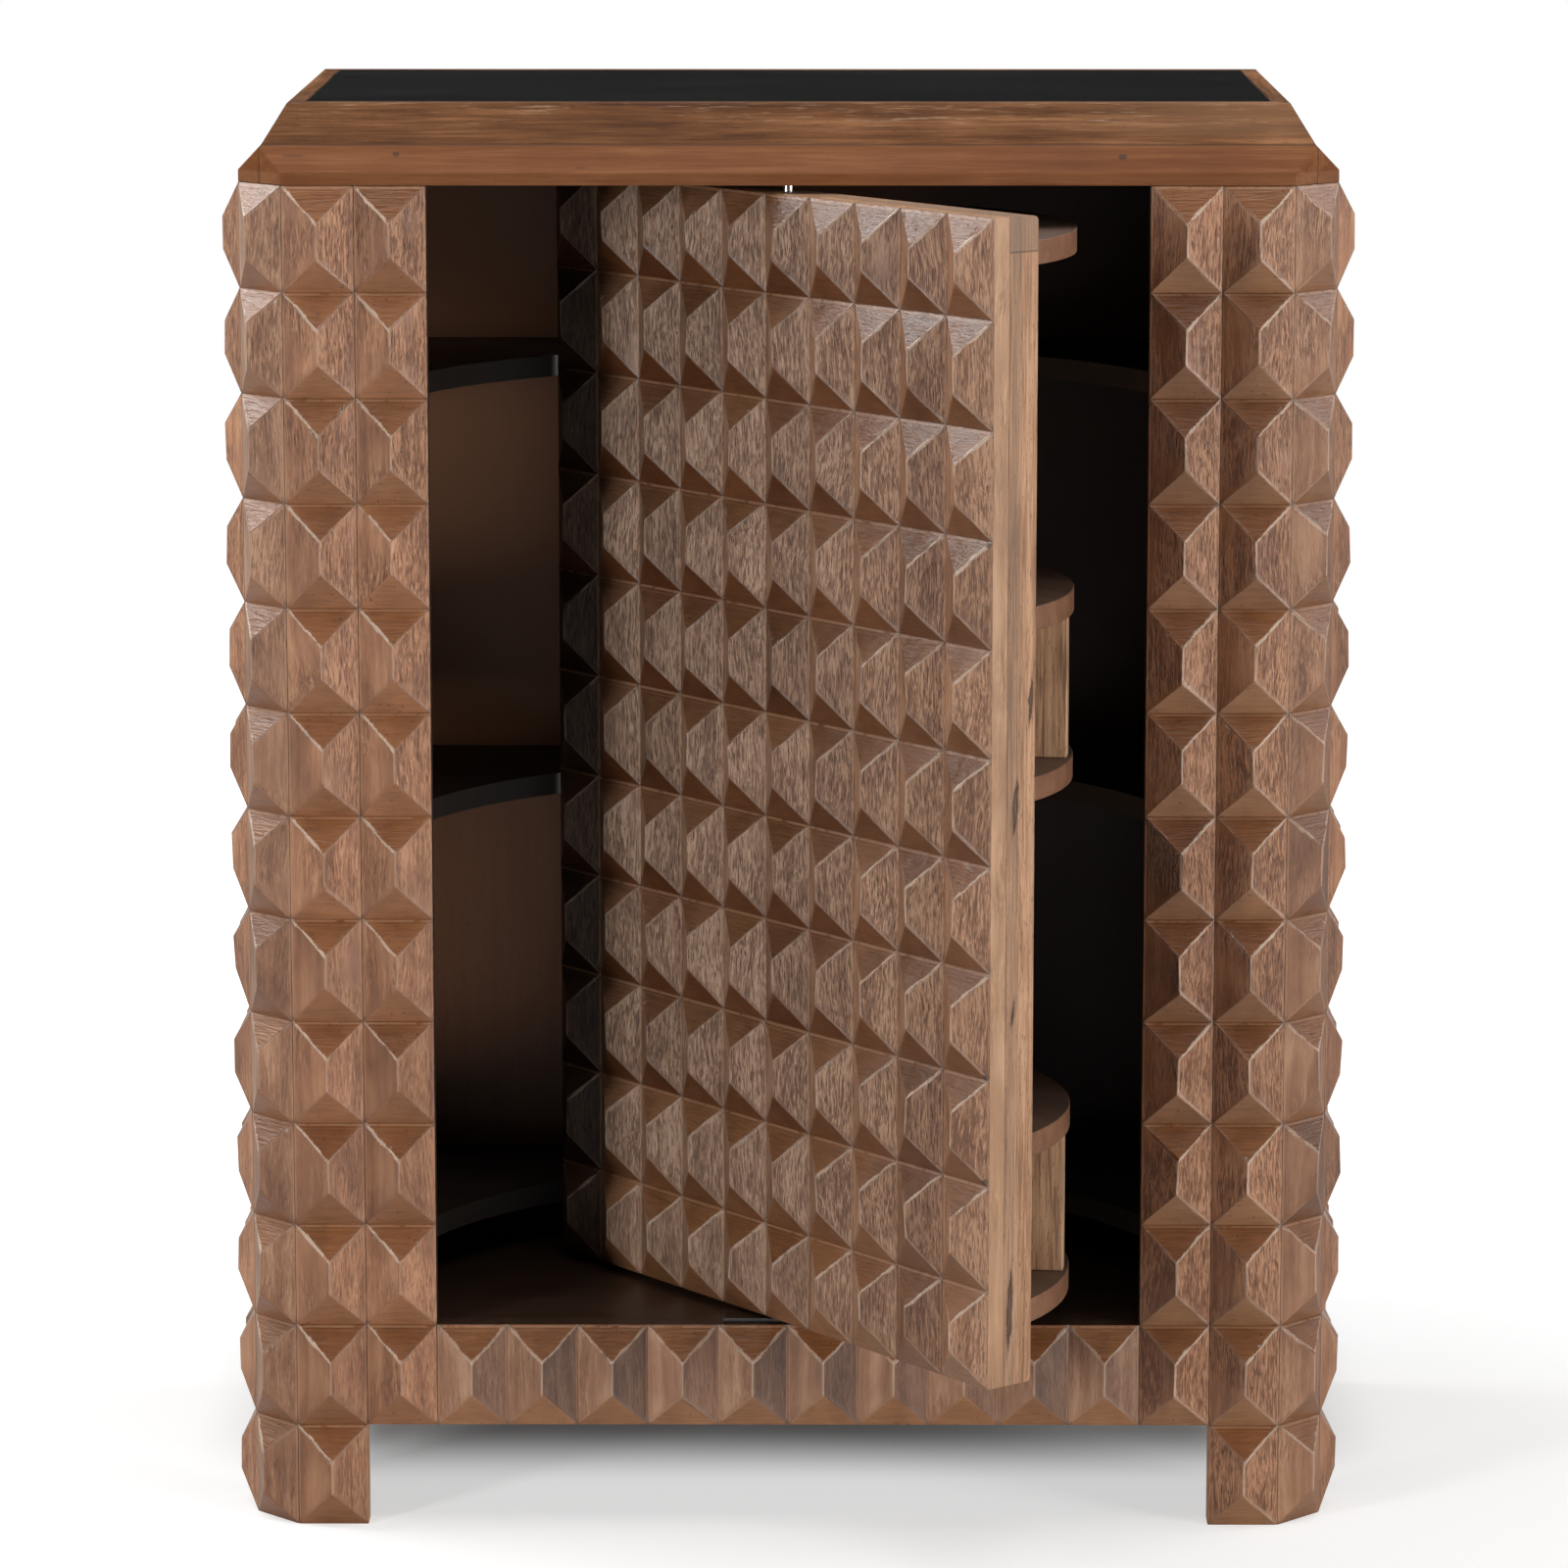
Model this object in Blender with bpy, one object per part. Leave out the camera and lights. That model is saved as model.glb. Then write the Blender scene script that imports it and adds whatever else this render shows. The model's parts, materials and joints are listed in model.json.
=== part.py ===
"""Bar cabinet with a revolving door, carved all over in pointed blocks.

Metres, +Z up. The front faces -Y. The door turns about an upright pivot at the
middle of the opening and stands part open, with its near end out in front.
The origin is on the ground under the middle of the whole object's box.
"""

import math

import bmesh
import bpy
from mathutils import Vector

# Carved blocks
CELL_W = 0.065  # width of a block on the cabinet
CORNER_W = 0.059  # width of a block on the 45 degree corners
RELIEF = 0.018  # how far a ridge stands out of the valleys
RIDGE_LEAST = 0.004  # shortest ridge that a low block may have
OPENING_COLUMNS = 10
OPENING_ROWS = 11
RAIL_ROWS = 1
FOOT_ROWS = 1
SIDE_COLUMNS = 7

# Boards of the carcass
WALL = 0.024  # staves and panels, behind the valleys
BACK_T = 0.018
FLOOR_T = 0.022
DECK_T = 0.022
FIT = 0.0003  # gap left between pieces that touch

# Crown and top
CROWN_H = 0.071
CROWN_EDGE_H = 0.011  # upright band at the foot of the crown
CROWN_MID_IN = 0.023  # crease between the two bevels
CROWN_MID_H = 0.035
CROWN_RUN = 0.045  # where the upper bevel ends
CROWN_BORDER = 0.015  # flat wood border round the glass
CROWN_BACK_T = 0.014
GLASS_T = 0.006
GLASS_SEAT = 0.014
GLASS_GAP = 0.0008
BED_T = 0.018

# Fixed shelves
SHELF_T = 0.020
SHELF_FIRST = 0.248  # height of the lowest shelf's top
SHELF_PITCH = 0.404
SHELF_CUT = 0.371  # radius of the round cut, about the pivot
SHELF_FRONT = 0.130  # how far behind the front the side tongues start
SHELF_EASE = 0.002

# Revolving door
DOOR_OPEN = math.radians(51.8)
DOOR_SIDE_GAP = 0.0045
DOOR_TOP_GAP = 0.007
DOOR_FLOOR_GAP = 0.006
DOOR_T = 0.050  # from the valleys to the back
FACING_T = 0.018  # the part of it that the staves take up
PIVOT_Y = 0.026  # pivot axis behind the front
SLAB_ROUND = 0.005

# Half-round boards and dividers on the door's back
BOARD_R = 0.260
BOARD_T = 0.022
BOARD_EASE = 0.004
BOARD_LOW = 0.0271  # lowest board's underside above the door's foot
BOARD_DROP = 0.0306  # highest board's top below the door's top
RACK_H = 0.132  # low rack between two boards
BAY_H = 0.304  # bottle bay between two boards
STOREYS = 2  # each a low rack with a bottle bay above it
DIVIDER_T = 0.020
DIVIDER_TURN = math.radians(45)

# Pivot hardware
PIN_R = 0.005
PIN_IN_DOOR = 0.040
PIN_IN_CROWN = 0.016
BUSH_R = 0.009
BUSH_L = 0.018
PLATE_L = 0.120
PLATE_W = 0.036
PLATE_T = 0.0035
STUB_R = 0.0045
STUB_L = 0.030
SLEEVE_WALL = 0.0014
WASHER_R = 0.014
RUN_FIT = 0.0004  # clearance between parts that turn on each other

ARC_STEPS = 36
TURN_STEPS = 32
EASE_STEPS = 2
ROUND_STEPS = 4

# Places that follow from the sizes. The bottles set the opening's height, and its rows divide it.
STACK_H = STOREYS * (RACK_H + BAY_H) + (2 * STOREYS + 1) * BOARD_T
OPENING_H = DOOR_FLOOR_GAP + BOARD_LOW + STACK_H + BOARD_DROP + DOOR_TOP_GAP
CELL_H = OPENING_H / OPENING_ROWS
CHAMFER = CORNER_W / math.sqrt(2)
OPENING_HALF = OPENING_COLUMNS * CELL_W / 2
FRONT_HALF = OPENING_HALF + 2 * CELL_W
SIDE_X = FRONT_HALF + CHAMFER
DEPTH = CHAMFER + SIDE_COLUMNS * CELL_W
FOOT_TOP = FOOT_ROWS * CELL_H
RAIL_TOP = FOOT_TOP + RAIL_ROWS * CELL_H
WALL_TOP = RAIL_TOP + OPENING_ROWS * CELL_H
MITRE = WALL * math.tan(math.radians(22.5))
CROWN_FOOT = WALL_TOP + FIT
CROWN_IN = CROWN_RUN + CROWN_BORDER + GLASS_SEAT
GLASS_UNDER = CROWN_FOOT + CROWN_H - GLASS_T

DOOR_HALF = OPENING_HALF - DOOR_SIDE_GAP
DOOR_FOOT = RAIL_TOP + DOOR_FLOOR_GAP
DOOR_TOP = WALL_TOP - DOOR_TOP_GAP
DOOR_BACK = DOOR_T - PIVOT_Y
SLAB_FRONT = FACING_T - PIVOT_Y + FIT

# The open door's near corner is the front of the whole box.
NEAR_Y = PIVOT_Y - DOOR_HALF * math.sin(DOOR_OPEN) - PIVOT_Y * math.cos(DOOR_OPEN)
CENTRE_Y = (NEAR_Y + DEPTH) / 2

# Finishes: colour, roughness, metallic
CARVED = ((0.235, 0.125, 0.066), 0.55, 0.0)
SMOOTH = ((0.215, 0.105, 0.052), 0.45, 0.0)
INNER = ((0.105, 0.052, 0.028), 0.40, 0.0)
BOARD = ((0.225, 0.118, 0.066), 0.42, 0.0)
GLASS = ((0.004, 0.004, 0.004), 0.10, 0.0)
STEEL = ((0.62, 0.60, 0.57), 0.28, 1.0)
DARK_STEEL = ((0.10, 0.095, 0.09), 0.40, 1.0)
BRONZE = ((0.42, 0.27, 0.12), 0.38, 1.0)


def clear_scene():
    for obj in list(bpy.data.objects):
        bpy.data.objects.remove(obj)


def empty(name, place, turn=0.0, parent=None):
    obj = bpy.data.objects.new(name, None)
    obj.location = place
    obj.rotation_euler = (0.0, 0.0, turn)
    obj.parent = parent
    bpy.context.scene.collection.objects.link(obj)
    return obj


def finished(name, finish):
    colour, roughness, metallic = finish
    material = bpy.data.materials.new(name + "_finish")
    material.use_nodes = True
    shader = material.node_tree.nodes["Principled BSDF"]
    shader.inputs["Base Color"].default_value = (*colour, 1.0)
    shader.inputs["Roughness"].default_value = roughness
    shader.inputs["Metallic"].default_value = metallic
    return material


def placed(name, mesh, finish, parent, place=(0.0, 0.0, 0.0)):
    """An object of this mesh. Copies of a piece share their mesh, so the finish is on the object."""
    obj = bpy.data.objects.new(name, mesh)
    obj.parent = parent
    obj.location = place
    bpy.context.scene.collection.objects.link(obj)
    if not mesh.materials:
        mesh.materials.append(None)
    obj.material_slots[0].link = "OBJECT"
    obj.material_slots[0].material = finished(name, finish)
    return obj


def mesh_of(name, bm, smooth=False):
    bmesh.ops.recalc_face_normals(bm, faces=bm.faces)
    mesh = bpy.data.meshes.new(name)
    bm.to_mesh(mesh)
    bm.free()
    if smooth:
        mesh.shade_smooth()
        mesh.set_sharp_from_angle(angle=math.radians(35))
    return mesh


def inset_outline(outline, insets):
    """The outline with each edge moved inwards by its own distance. Edge i starts at point i."""
    edges = []
    for i, start in enumerate(outline):
        start = Vector(start)
        along = (Vector(outline[(i + 1) % len(outline)]) - start).normalized()
        edges.append((start + Vector((-along.y, along.x)) * insets[i], along))
    moved = []
    for i, (start, along) in enumerate(edges):
        before, heading = edges[i - 1]
        reach = (start - before).cross(along) / heading.cross(along)
        moved.append(tuple(before + heading * reach))
    return moved


def add_block(bm, low_a, low_b, high_b, high_a):
    """A pointed block on one cell: a hipped roof whose ridge stands upright."""
    across = low_b.co - low_a.co
    up = high_a.co - low_a.co
    out = across.cross(up).normalized() * RELIEF
    hip = min(across.length, up.length - RIDGE_LEAST) / 2
    middle = low_a.co + across / 2 + out
    foot = bm.verts.new(middle + up.normalized() * hip)
    head = bm.verts.new(middle + up - up.normalized() * hip)
    bm.faces.new((low_a, low_b, foot))
    bm.faces.new((low_b, high_b, head, foot))
    bm.faces.new((high_b, high_a, head))
    bm.faces.new((high_a, low_a, foot, head))


def upright_bm(outline, levels, carved=None):
    """A prism over a plan outline that runs anticlockwise from above.

    carved gives, for an edge's number, its columns of blocks. Levels are the rows' heights.
    """
    carved = carved or {}
    points = []
    carved_edges = set()
    for i, start in enumerate(outline):
        columns = carved.get(i, 1)
        step = (Vector(outline[(i + 1) % len(outline)]) - Vector(start)) / columns
        for column in range(columns):
            if i in carved:
                carved_edges.add(len(points))
            points.append(Vector(start) + step * column)
    bm = bmesh.new()
    lines = []
    for i, point in enumerate(points):
        beside_blocks = i in carved_edges or (i - 1) % len(points) in carved_edges
        heights = levels if beside_blocks else (levels[0], levels[-1])
        lines.append([bm.verts.new((*point, z)) for z in heights])
    for i, here in enumerate(lines):
        there = lines[(i + 1) % len(lines)]
        if i in carved_edges:
            for row in range(len(levels) - 1):
                add_block(bm, here[row], there[row], there[row + 1], here[row + 1])
        else:
            bm.faces.new([here[0]] + there + here[:0:-1])
    bm.faces.new([line[-1] for line in lines])
    bm.faces.new([line[0] for line in reversed(lines)])
    return bm


def rows_between(foot, top, count):
    return [foot + (top - foot) * row / count for row in range(count + 1)]


def mirrored(outline, side):
    """The outline as it is for the right side, or turned over for the left, still anticlockwise."""
    if side > 0:
        return list(outline)
    return [(-x, y) for x, y in reversed(outline)]


def ease_edges(bm, picked, size, steps):
    bmesh.ops.bevel(
        bm, geom=picked, offset=size, segments=steps, profile=0.5,
        affect="EDGES", clamp_overlap=True,
    )


def turned_mesh(name, profile, ring=False):
    """A turned solid about Z from (radius, height) points. A ring's profile closes on itself."""
    bm = bmesh.new()
    loops = []
    for radius, height in profile:
        angles = [math.tau * i / TURN_STEPS for i in range(TURN_STEPS)]
        loops.append([bm.verts.new((radius * math.cos(a), radius * math.sin(a), height)) for a in angles])
    pairs = list(zip(loops, loops[1:]))
    if ring:
        pairs.append((loops[-1], loops[0]))
    else:
        bm.faces.new(loops[0])
        bm.faces.new(loops[-1])
    for first, second in pairs:
        for i in range(TURN_STEPS):
            j = (i + 1) % TURN_STEPS
            bm.faces.new((first[i], first[j], second[j], second[i]))
    return mesh_of(name, bm, smooth=True)


def cut_with(obj, tool, operation="DIFFERENCE"):
    tool.hide_render = True
    tool.display_type = "WIRE"
    modifier = obj.modifiers.new(operation.lower(), "BOOLEAN")
    modifier.operation = operation
    modifier.object = tool


def carved_staves(cabinet):
    """Legs, stiles, side panels and rail: everything that carries the pointed blocks."""
    joint = FIT / 2
    all_rows = rows_between(0.0, WALL_TOP, FOOT_ROWS + RAIL_ROWS + OPENING_ROWS)
    wall_rows = rows_between(FOOT_TOP, WALL_TOP, RAIL_ROWS + OPENING_ROWS)
    inner_x = SIDE_X - WALL
    leg_x = OPENING_HALF + CELL_W
    leg_y = CHAMFER + CELL_W
    rear_y = DEPTH - CELL_W
    corner_out = (SIDE_X, CHAMFER)
    corner_in = (inner_x, CHAMFER + MITRE)
    front_in = (FRONT_HALF - MITRE, WALL)
    # name, plan outline on the right side, joints of its edges, edge with blocks, columns, rows
    staves = [
        ("front_leg_front", [(leg_x, 0), (FRONT_HALF, 0), front_in, (leg_x, WALL)],
         (0, joint, 0, joint), 0, 1, all_rows),
        ("front_leg_corner", [(FRONT_HALF, 0), corner_out, corner_in, front_in],
         (0, joint, 0, joint), 0, 1, all_rows),
        ("front_leg_side", [corner_out, (SIDE_X, leg_y), (inner_x, leg_y), corner_in],
         (0, joint, 0, joint), 0, 1, all_rows),
        ("front_stile", [(OPENING_HALF, 0), (leg_x, 0), (leg_x, WALL), (OPENING_HALF, WALL)],
         (0, joint, 0, joint), 0, 1, wall_rows),
        ("side_panel", [(SIDE_X, leg_y), (SIDE_X, rear_y), (inner_x, rear_y), (inner_x, leg_y)],
         (0, joint, 0, joint), 0, SIDE_COLUMNS - 2, wall_rows),
        ("rear_leg_side", [(SIDE_X, rear_y), (SIDE_X, DEPTH), (inner_x, DEPTH), (inner_x, rear_y)],
         (0, 0, joint, joint), 0, 1, all_rows),
    ]
    for label, outline, joints, edge, columns, rows in staves:
        outline = inset_outline(outline, joints)
        for side, word in ((1, "right"), (-1, "left")):
            turned = mirrored(outline, side)
            # Turning the outline over also turns the order of its edges.
            carved_edge = edge if side > 0 else len(outline) - 2 - edge
            name = f"{label}_{word}"
            bm = upright_bm(turned, rows, {carved_edge: columns})
            placed(name, mesh_of(name, bm), CARVED, cabinet)

    rail = [(-OPENING_HALF, 0), (OPENING_HALF, 0), (OPENING_HALF, WALL), (-OPENING_HALF, WALL)]
    rail = inset_outline(rail, (0, joint, 0, joint))
    rail_rows = rows_between(FOOT_TOP, RAIL_TOP, RAIL_ROWS)
    bm = upright_bm(rail, rail_rows, {0: OPENING_COLUMNS})
    placed("bottom_rail", mesh_of("bottom_rail", bm), CARVED, cabinet)


def plain_panels(cabinet):
    """Back boards of the rear legs, back panel and floor."""
    joint = FIT / 2
    inner_x = SIDE_X - WALL
    board_x = inner_x - CELL_W
    back_y = DEPTH - BACK_T
    board = [(board_x, back_y), (inner_x, back_y), (inner_x, DEPTH), (board_x, DEPTH)]
    board = inset_outline(board, (0, joint, 0, joint))
    for side, word in ((1, "right"), (-1, "left")):
        name = f"rear_leg_board_{word}"
        bm = upright_bm(mirrored(board, side), (0.0, WALL_TOP))
        placed(name, mesh_of(name, bm), SMOOTH, cabinet)

    panel = [(-board_x, back_y), (board_x, back_y), (board_x, DEPTH), (-board_x, DEPTH)]
    bm = upright_bm(inset_outline(panel, (0, joint, 0, joint)), (FOOT_TOP, WALL_TOP))
    placed("back_panel", mesh_of("back_panel", bm), INNER, cabinet)

    right = [(FRONT_HALF - MITRE, WALL), (inner_x, CHAMFER + MITRE), (inner_x, back_y)]
    floor = right + mirrored(right, -1)
    bm = upright_bm(inset_outline(floor, [FIT] * len(floor)), (0.0, FLOOR_T))
    placed("floor_panel", mesh_of("floor_panel", bm), INNER, cabinet, (0, 0, RAIL_TOP - FLOOR_T))


def fixed_shelves(cabinet):
    """Three shelves whose fronts are cut on a circle about the pivot, clear of the turning door."""
    half = SIDE_X - WALL - FIT
    back = DEPTH - BACK_T - FIT
    tongue = math.asin((SHELF_FRONT - PIVOT_Y) / SHELF_CUT)
    sweep = math.pi - 2 * tongue
    arc = []
    for i in range(ARC_STEPS + 1):
        angle = math.pi - tongue - sweep * i / ARC_STEPS
        arc.append((SHELF_CUT * math.cos(angle), PIVOT_Y + SHELF_CUT * math.sin(angle)))
    outline = [(half, SHELF_FRONT), (half, back), (-half, back), (-half, SHELF_FRONT)] + arc
    bm = upright_bm(outline, (-SHELF_T, 0.0))
    round_cut = [e for e in bm.edges if all(on_circle(v.co, SHELF_CUT, PIVOT_Y) for v in e.verts)]
    level = [e for e in round_cut if e.verts[0].co.z == e.verts[1].co.z]
    ease_edges(bm, level, SHELF_EASE, 1)
    mesh = mesh_of("fixed_shelf", bm)
    for i, word in enumerate(("lower", "middle", "upper")):
        placed(f"fixed_shelf_{word}", mesh, INNER, cabinet, (0, 0, SHELF_FIRST + i * SHELF_PITCH))


def on_circle(point, radius, centre_y):
    return abs(math.hypot(point.x, point.y - centre_y) - radius) < FIT / 10


def sweep_profile(profile, axis_from, axis_to, place):
    """A moulding: the profile's (inwards, up) points carried from one place along its run to another."""
    bm = bmesh.new()
    start = [bm.verts.new(place(axis_from, inwards, up)) for inwards, up in profile]
    end = [bm.verts.new(place(axis_to, inwards, up)) for inwards, up in profile]
    bm.faces.new(start)
    bm.faces.new(end)
    for i in range(len(profile)):
        j = (i + 1) % len(profile)
        bm.faces.new((start[i], start[j], end[j], end[i]))
    return bm


def saw(bm, point, normal):
    """Cuts away what lies beyond a plane and closes the cut."""
    geometry = list(bm.verts) + list(bm.edges) + list(bm.faces)
    bmesh.ops.bisect_plane(bm, geom=geometry, plane_co=point, plane_no=normal, clear_outer=True)
    bmesh.ops.holes_fill(bm, edges=[e for e in bm.edges if e.is_boundary], sides=0)


def crown_boards(cabinet):
    """Bevelled boards mitred at the front corners, where the corner's 45 degree face also cuts them."""
    top = CROWN_H
    bevel = [(0, 0), (0, CROWN_EDGE_H), (CROWN_MID_IN, CROWN_MID_H), (CROWN_RUN, top)]
    lip = CROWN_RUN + CROWN_BORDER
    rebate = [(lip, top), (lip, top - GLASS_T), (CROWN_IN, top - GLASS_T), (CROWN_IN, 0)]
    profile = bevel + rebate
    joint = FIT / 2
    back = DEPTH - CROWN_BACK_T
    foot = (0, 0, CROWN_FOOT)

    bm = sweep_profile(profile, -SIDE_X, SIDE_X, lambda x, inwards, up: (x, inwards, up))
    for side in (1, -1):
        saw(bm, (side * (SIDE_X - joint), 0, 0), (side, 1, 0))
        saw(bm, (side * FRONT_HALF, 0, 0), (side, -1, 0))
    front = placed("crown_front", mesh_of("crown_front", bm), SMOOTH, cabinet, foot)
    bore = turned_mesh("top_bore", [(BUSH_R + FIT, -BUSH_L), (BUSH_R + FIT, BUSH_L + FIT)])
    cut_with(front, placed("top_bore", bore, STEEL, cabinet, (0, PIVOT_Y, CROWN_FOOT)))

    for side, word in ((1, "right"), (-1, "left")):
        bm = sweep_profile(
            profile, 0, back - FIT, lambda y, inwards, up: (side * (SIDE_X - inwards), y, up)
        )
        saw(bm, (side * (SIDE_X + joint), 0, 0), (-side, -1, 0))
        saw(bm, (side * FRONT_HALF, 0, 0), (side, -1, 0))
        name = f"crown_{word}"
        placed(name, mesh_of(name, bm), SMOOTH, cabinet, foot)

    right = [(SIDE_X - inwards, up) for inwards, up in bevel]
    outline = right + [(-x, z) for x, z in reversed(right)]
    bm = sweep_profile(outline, back, DEPTH, lambda y, x, up: (x, y, up))
    placed("crown_back", mesh_of("crown_back", bm), SMOOTH, cabinet, foot)


def rectangle(half_x, front, back):
    return [(-half_x, front), (half_x, front), (half_x, back), (-half_x, back)]


def top_boards(cabinet):
    """Deck that closes the ceiling, bed board, and the black glass let in flush with the border."""
    back = DEPTH - CROWN_BACK_T
    inside = rectangle(SIDE_X - CROWN_IN - FIT, CROWN_IN + FIT, back - FIT)
    bm = upright_bm(inside, (0.0, DECK_T))
    placed("top_deck", mesh_of("top_deck", bm), INNER, cabinet, (0, 0, CROWN_FOOT))
    bm = upright_bm(inside, (-BED_T, 0.0))
    placed("glass_bed", mesh_of("glass_bed", bm), INNER, cabinet, (0, 0, GLASS_UNDER))

    lip = CROWN_RUN + CROWN_BORDER + GLASS_GAP
    pane = rectangle(SIDE_X - lip, lip, back - GLASS_GAP)
    bm = upright_bm(pane, (FIT, GLASS_T))
    placed("top_glass", mesh_of("top_glass", bm), GLASS, cabinet, (0, 0, GLASS_UNDER))


def pivot_hardware(cabinet, door):
    """Bush in the crown, plate with a stub pin on the floor, and the pin and sleeve in the door."""
    bush_hole = PIN_R + RUN_FIT
    bush = [(bush_hole, 0), (BUSH_R, 0), (BUSH_R, BUSH_L), (bush_hole, BUSH_L)]
    placed("top_bush", turned_mesh("top_bush", bush, ring=True), BRONZE, cabinet, (0, PIVOT_Y, CROWN_FOOT))

    ease = PIN_R / 5
    pin_top = CROWN_FOOT + PIN_IN_CROWN - DOOR_TOP
    pin = [(PIN_R, -PIN_IN_DOOR), (PIN_R, pin_top - ease), (PIN_R - ease, pin_top)]
    placed("top_pivot_pin", turned_mesh("top_pivot_pin", pin), STEEL, door, (0, 0, DOOR_TOP))

    on_floor = (0, PIVOT_Y, RAIL_TOP + FIT)
    bm = upright_bm(rectangle(PLATE_L / 2, -PLATE_W / 2, PLATE_W / 2), (0.0, PLATE_T))
    plate = placed("floor_pivot", mesh_of("floor_pivot", bm), DARK_STEEL, cabinet, on_floor)
    stub_top = DOOR_FLOOR_GAP + STUB_L
    stub = [(STUB_R, PLATE_T / 2), (STUB_R, stub_top - ease), (STUB_R - ease, stub_top)]
    stub = placed("floor_stub", turned_mesh("floor_stub", stub), DARK_STEEL, cabinet, on_floor)
    cut_with(plate, stub, "UNION")

    hole = STUB_R + RUN_FIT
    washer_foot = RAIL_TOP + FIT + PLATE_T + FIT
    washer_t = DOOR_FOOT - FIT - washer_foot
    washer = [(hole, 0), (WASHER_R, 0), (WASHER_R, washer_t), (hole, washer_t)]
    washer = turned_mesh("thrust_washer", washer, ring=True)
    placed("thrust_washer", washer, BRONZE, cabinet, (0, PIVOT_Y, washer_foot))

    sleeve_r = hole + SLEEVE_WALL
    sleeve = [(hole, 0), (sleeve_r, 0), (sleeve_r, STUB_L), (hole, STUB_L)]
    sleeve = turned_mesh("bottom_sleeve", sleeve, ring=True)
    placed("bottom_sleeve", sleeve, BRONZE, door, (0, 0, DOOR_FOOT))
    return sleeve_r


def door_leaf(door, sleeve_r):
    """Carved staves on a slab. The slab's back edges are rounded, and its ends are bored for the pivots."""
    joint = FIT / 2
    cell = 2 * DOOR_HALF / OPENING_COLUMNS
    stave = inset_outline(rectangle(cell / 2, 0, FACING_T), (0, joint, 0, joint))
    # The rows run on from the cabinet's, so the gaps shorten only the first and the last.
    rows = rows_between(RAIL_TOP, WALL_TOP, OPENING_ROWS)
    rows = [DOOR_FOOT] + rows[1:-1] + [DOOR_TOP]
    mesh = mesh_of("door_stave", upright_bm(stave, rows, {0: 1}))
    for i in range(OPENING_COLUMNS):
        middle = -DOOR_HALF + cell * (i + 0.5)
        placed(f"door_stave_{i + 1:02d}", mesh, CARVED, door, (middle, -PIVOT_Y, 0))

    bm = upright_bm(rectangle(DOOR_HALF, SLAB_FRONT, DOOR_BACK), (DOOR_FOOT, DOOR_TOP))
    behind = [e for e in bm.edges if all(v.co.y > 0 for v in e.verts)]
    level = [e for e in behind if e.verts[0].co.z == e.verts[1].co.z]
    ease_edges(bm, level, SLAB_ROUND, ROUND_STEPS)
    slab = placed("door_slab", mesh_of("door_slab", bm), SMOOTH, door)
    pin_hole = [(PIN_R + FIT, -PIN_IN_DOOR - FIT), (PIN_R + FIT, PIN_IN_DOOR)]
    sleeve_hole = [(sleeve_r + FIT, -STUB_L), (sleeve_r + FIT, STUB_L + FIT)]
    cut_with(slab, placed("pin_hole", turned_mesh("pin_hole", pin_hole), STEEL, door, (0, 0, DOOR_TOP)))
    hole_mesh = turned_mesh("sleeve_hole", sleeve_hole)
    cut_with(slab, placed("sleeve_hole", hole_mesh, STEEL, door, (0, 0, DOOR_FOOT)))


def rack(door):
    """Half-round boards on the door's back, with slanting dividers in the two low racks."""
    chord = DOOR_BACK + FIT
    rise = math.asin(chord / BOARD_R)
    outline = []
    for i in range(ARC_STEPS + 1):
        angle = rise + (math.pi - 2 * rise) * i / ARC_STEPS
        outline.append((BOARD_R * math.cos(angle), BOARD_R * math.sin(angle)))
    bm = upright_bm(outline, (0.0, BOARD_T))
    rim = [e for e in bm.edges if all(on_circle(v.co, BOARD_R, 0) for v in e.verts)]
    level = [e for e in rim if e.verts[0].co.z == e.verts[1].co.z]
    curved = [e for e in level if e.calc_length() < BOARD_R]
    ease_edges(bm, curved, BOARD_EASE, EASE_STEPS)
    board = mesh_of("half_round_board", bm, smooth=True)

    half = DIVIDER_T / 2
    run = (math.cos(DIVIDER_TURN), math.sin(DIVIDER_TURN))
    slant = half / run[1]
    inner = chord * run[0] / run[1]
    reach = math.sqrt((BOARD_R - BOARD_EASE) ** 2 - half**2)
    near = (reach * run[0] + half * run[1], reach * run[1] - half * run[0])
    far = (reach * run[0] - half * run[1], reach * run[1] + half * run[0])
    outline = [(inner + slant, chord), near, far, (inner - slant, chord)]

    foot = DOOR_FOOT + BOARD_LOW
    for i, word in enumerate(("bottom", "lower", "middle", "upper", "top")):
        placed(f"board_{word}", board, BOARD, door, (0, 0, foot))
        low_rack = i % 2 == 0
        if low_rack and word != "top":
            level = "lower" if i == 0 else "upper"
            for side, hand in ((1, "near"), (-1, "far")):
                name = f"divider_{level}_{hand}"
                bm = upright_bm(mirrored(outline, side), (FIT, RACK_H - FIT))
                placed(name, mesh_of(name, bm), BOARD, door, (0, 0, foot + BOARD_T))
        foot += BOARD_T + (RACK_H if low_rack else BAY_H)


def main():
    clear_scene()
    cabinet = empty("cabinet", (0, -CENTRE_Y, 0))
    door = empty("door_pivot", (0, PIVOT_Y, 0), -DOOR_OPEN, cabinet)
    carved_staves(cabinet)
    plain_panels(cabinet)
    fixed_shelves(cabinet)
    crown_boards(cabinet)
    top_boards(cabinet)
    sleeve_r = pivot_hardware(cabinet, door)
    door_leaf(door, sleeve_r)
    rack(door)
    bpy.context.view_layer.update()


main()
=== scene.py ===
# %% [markdown]
# # A carved bar cabinet with a revolving door
#
# The imported model brings every board, stave and pivot in its true place. This lesson
# adds what makes it look like wood, glass and steel: hand-cut blocks, grain, worn
# edges, light and a camera. The frame is loaded first, and its box is kept, to find the
# middle of the cabinet.

# %% Load the frame
import json
import math
import random
from types import SimpleNamespace

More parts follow.
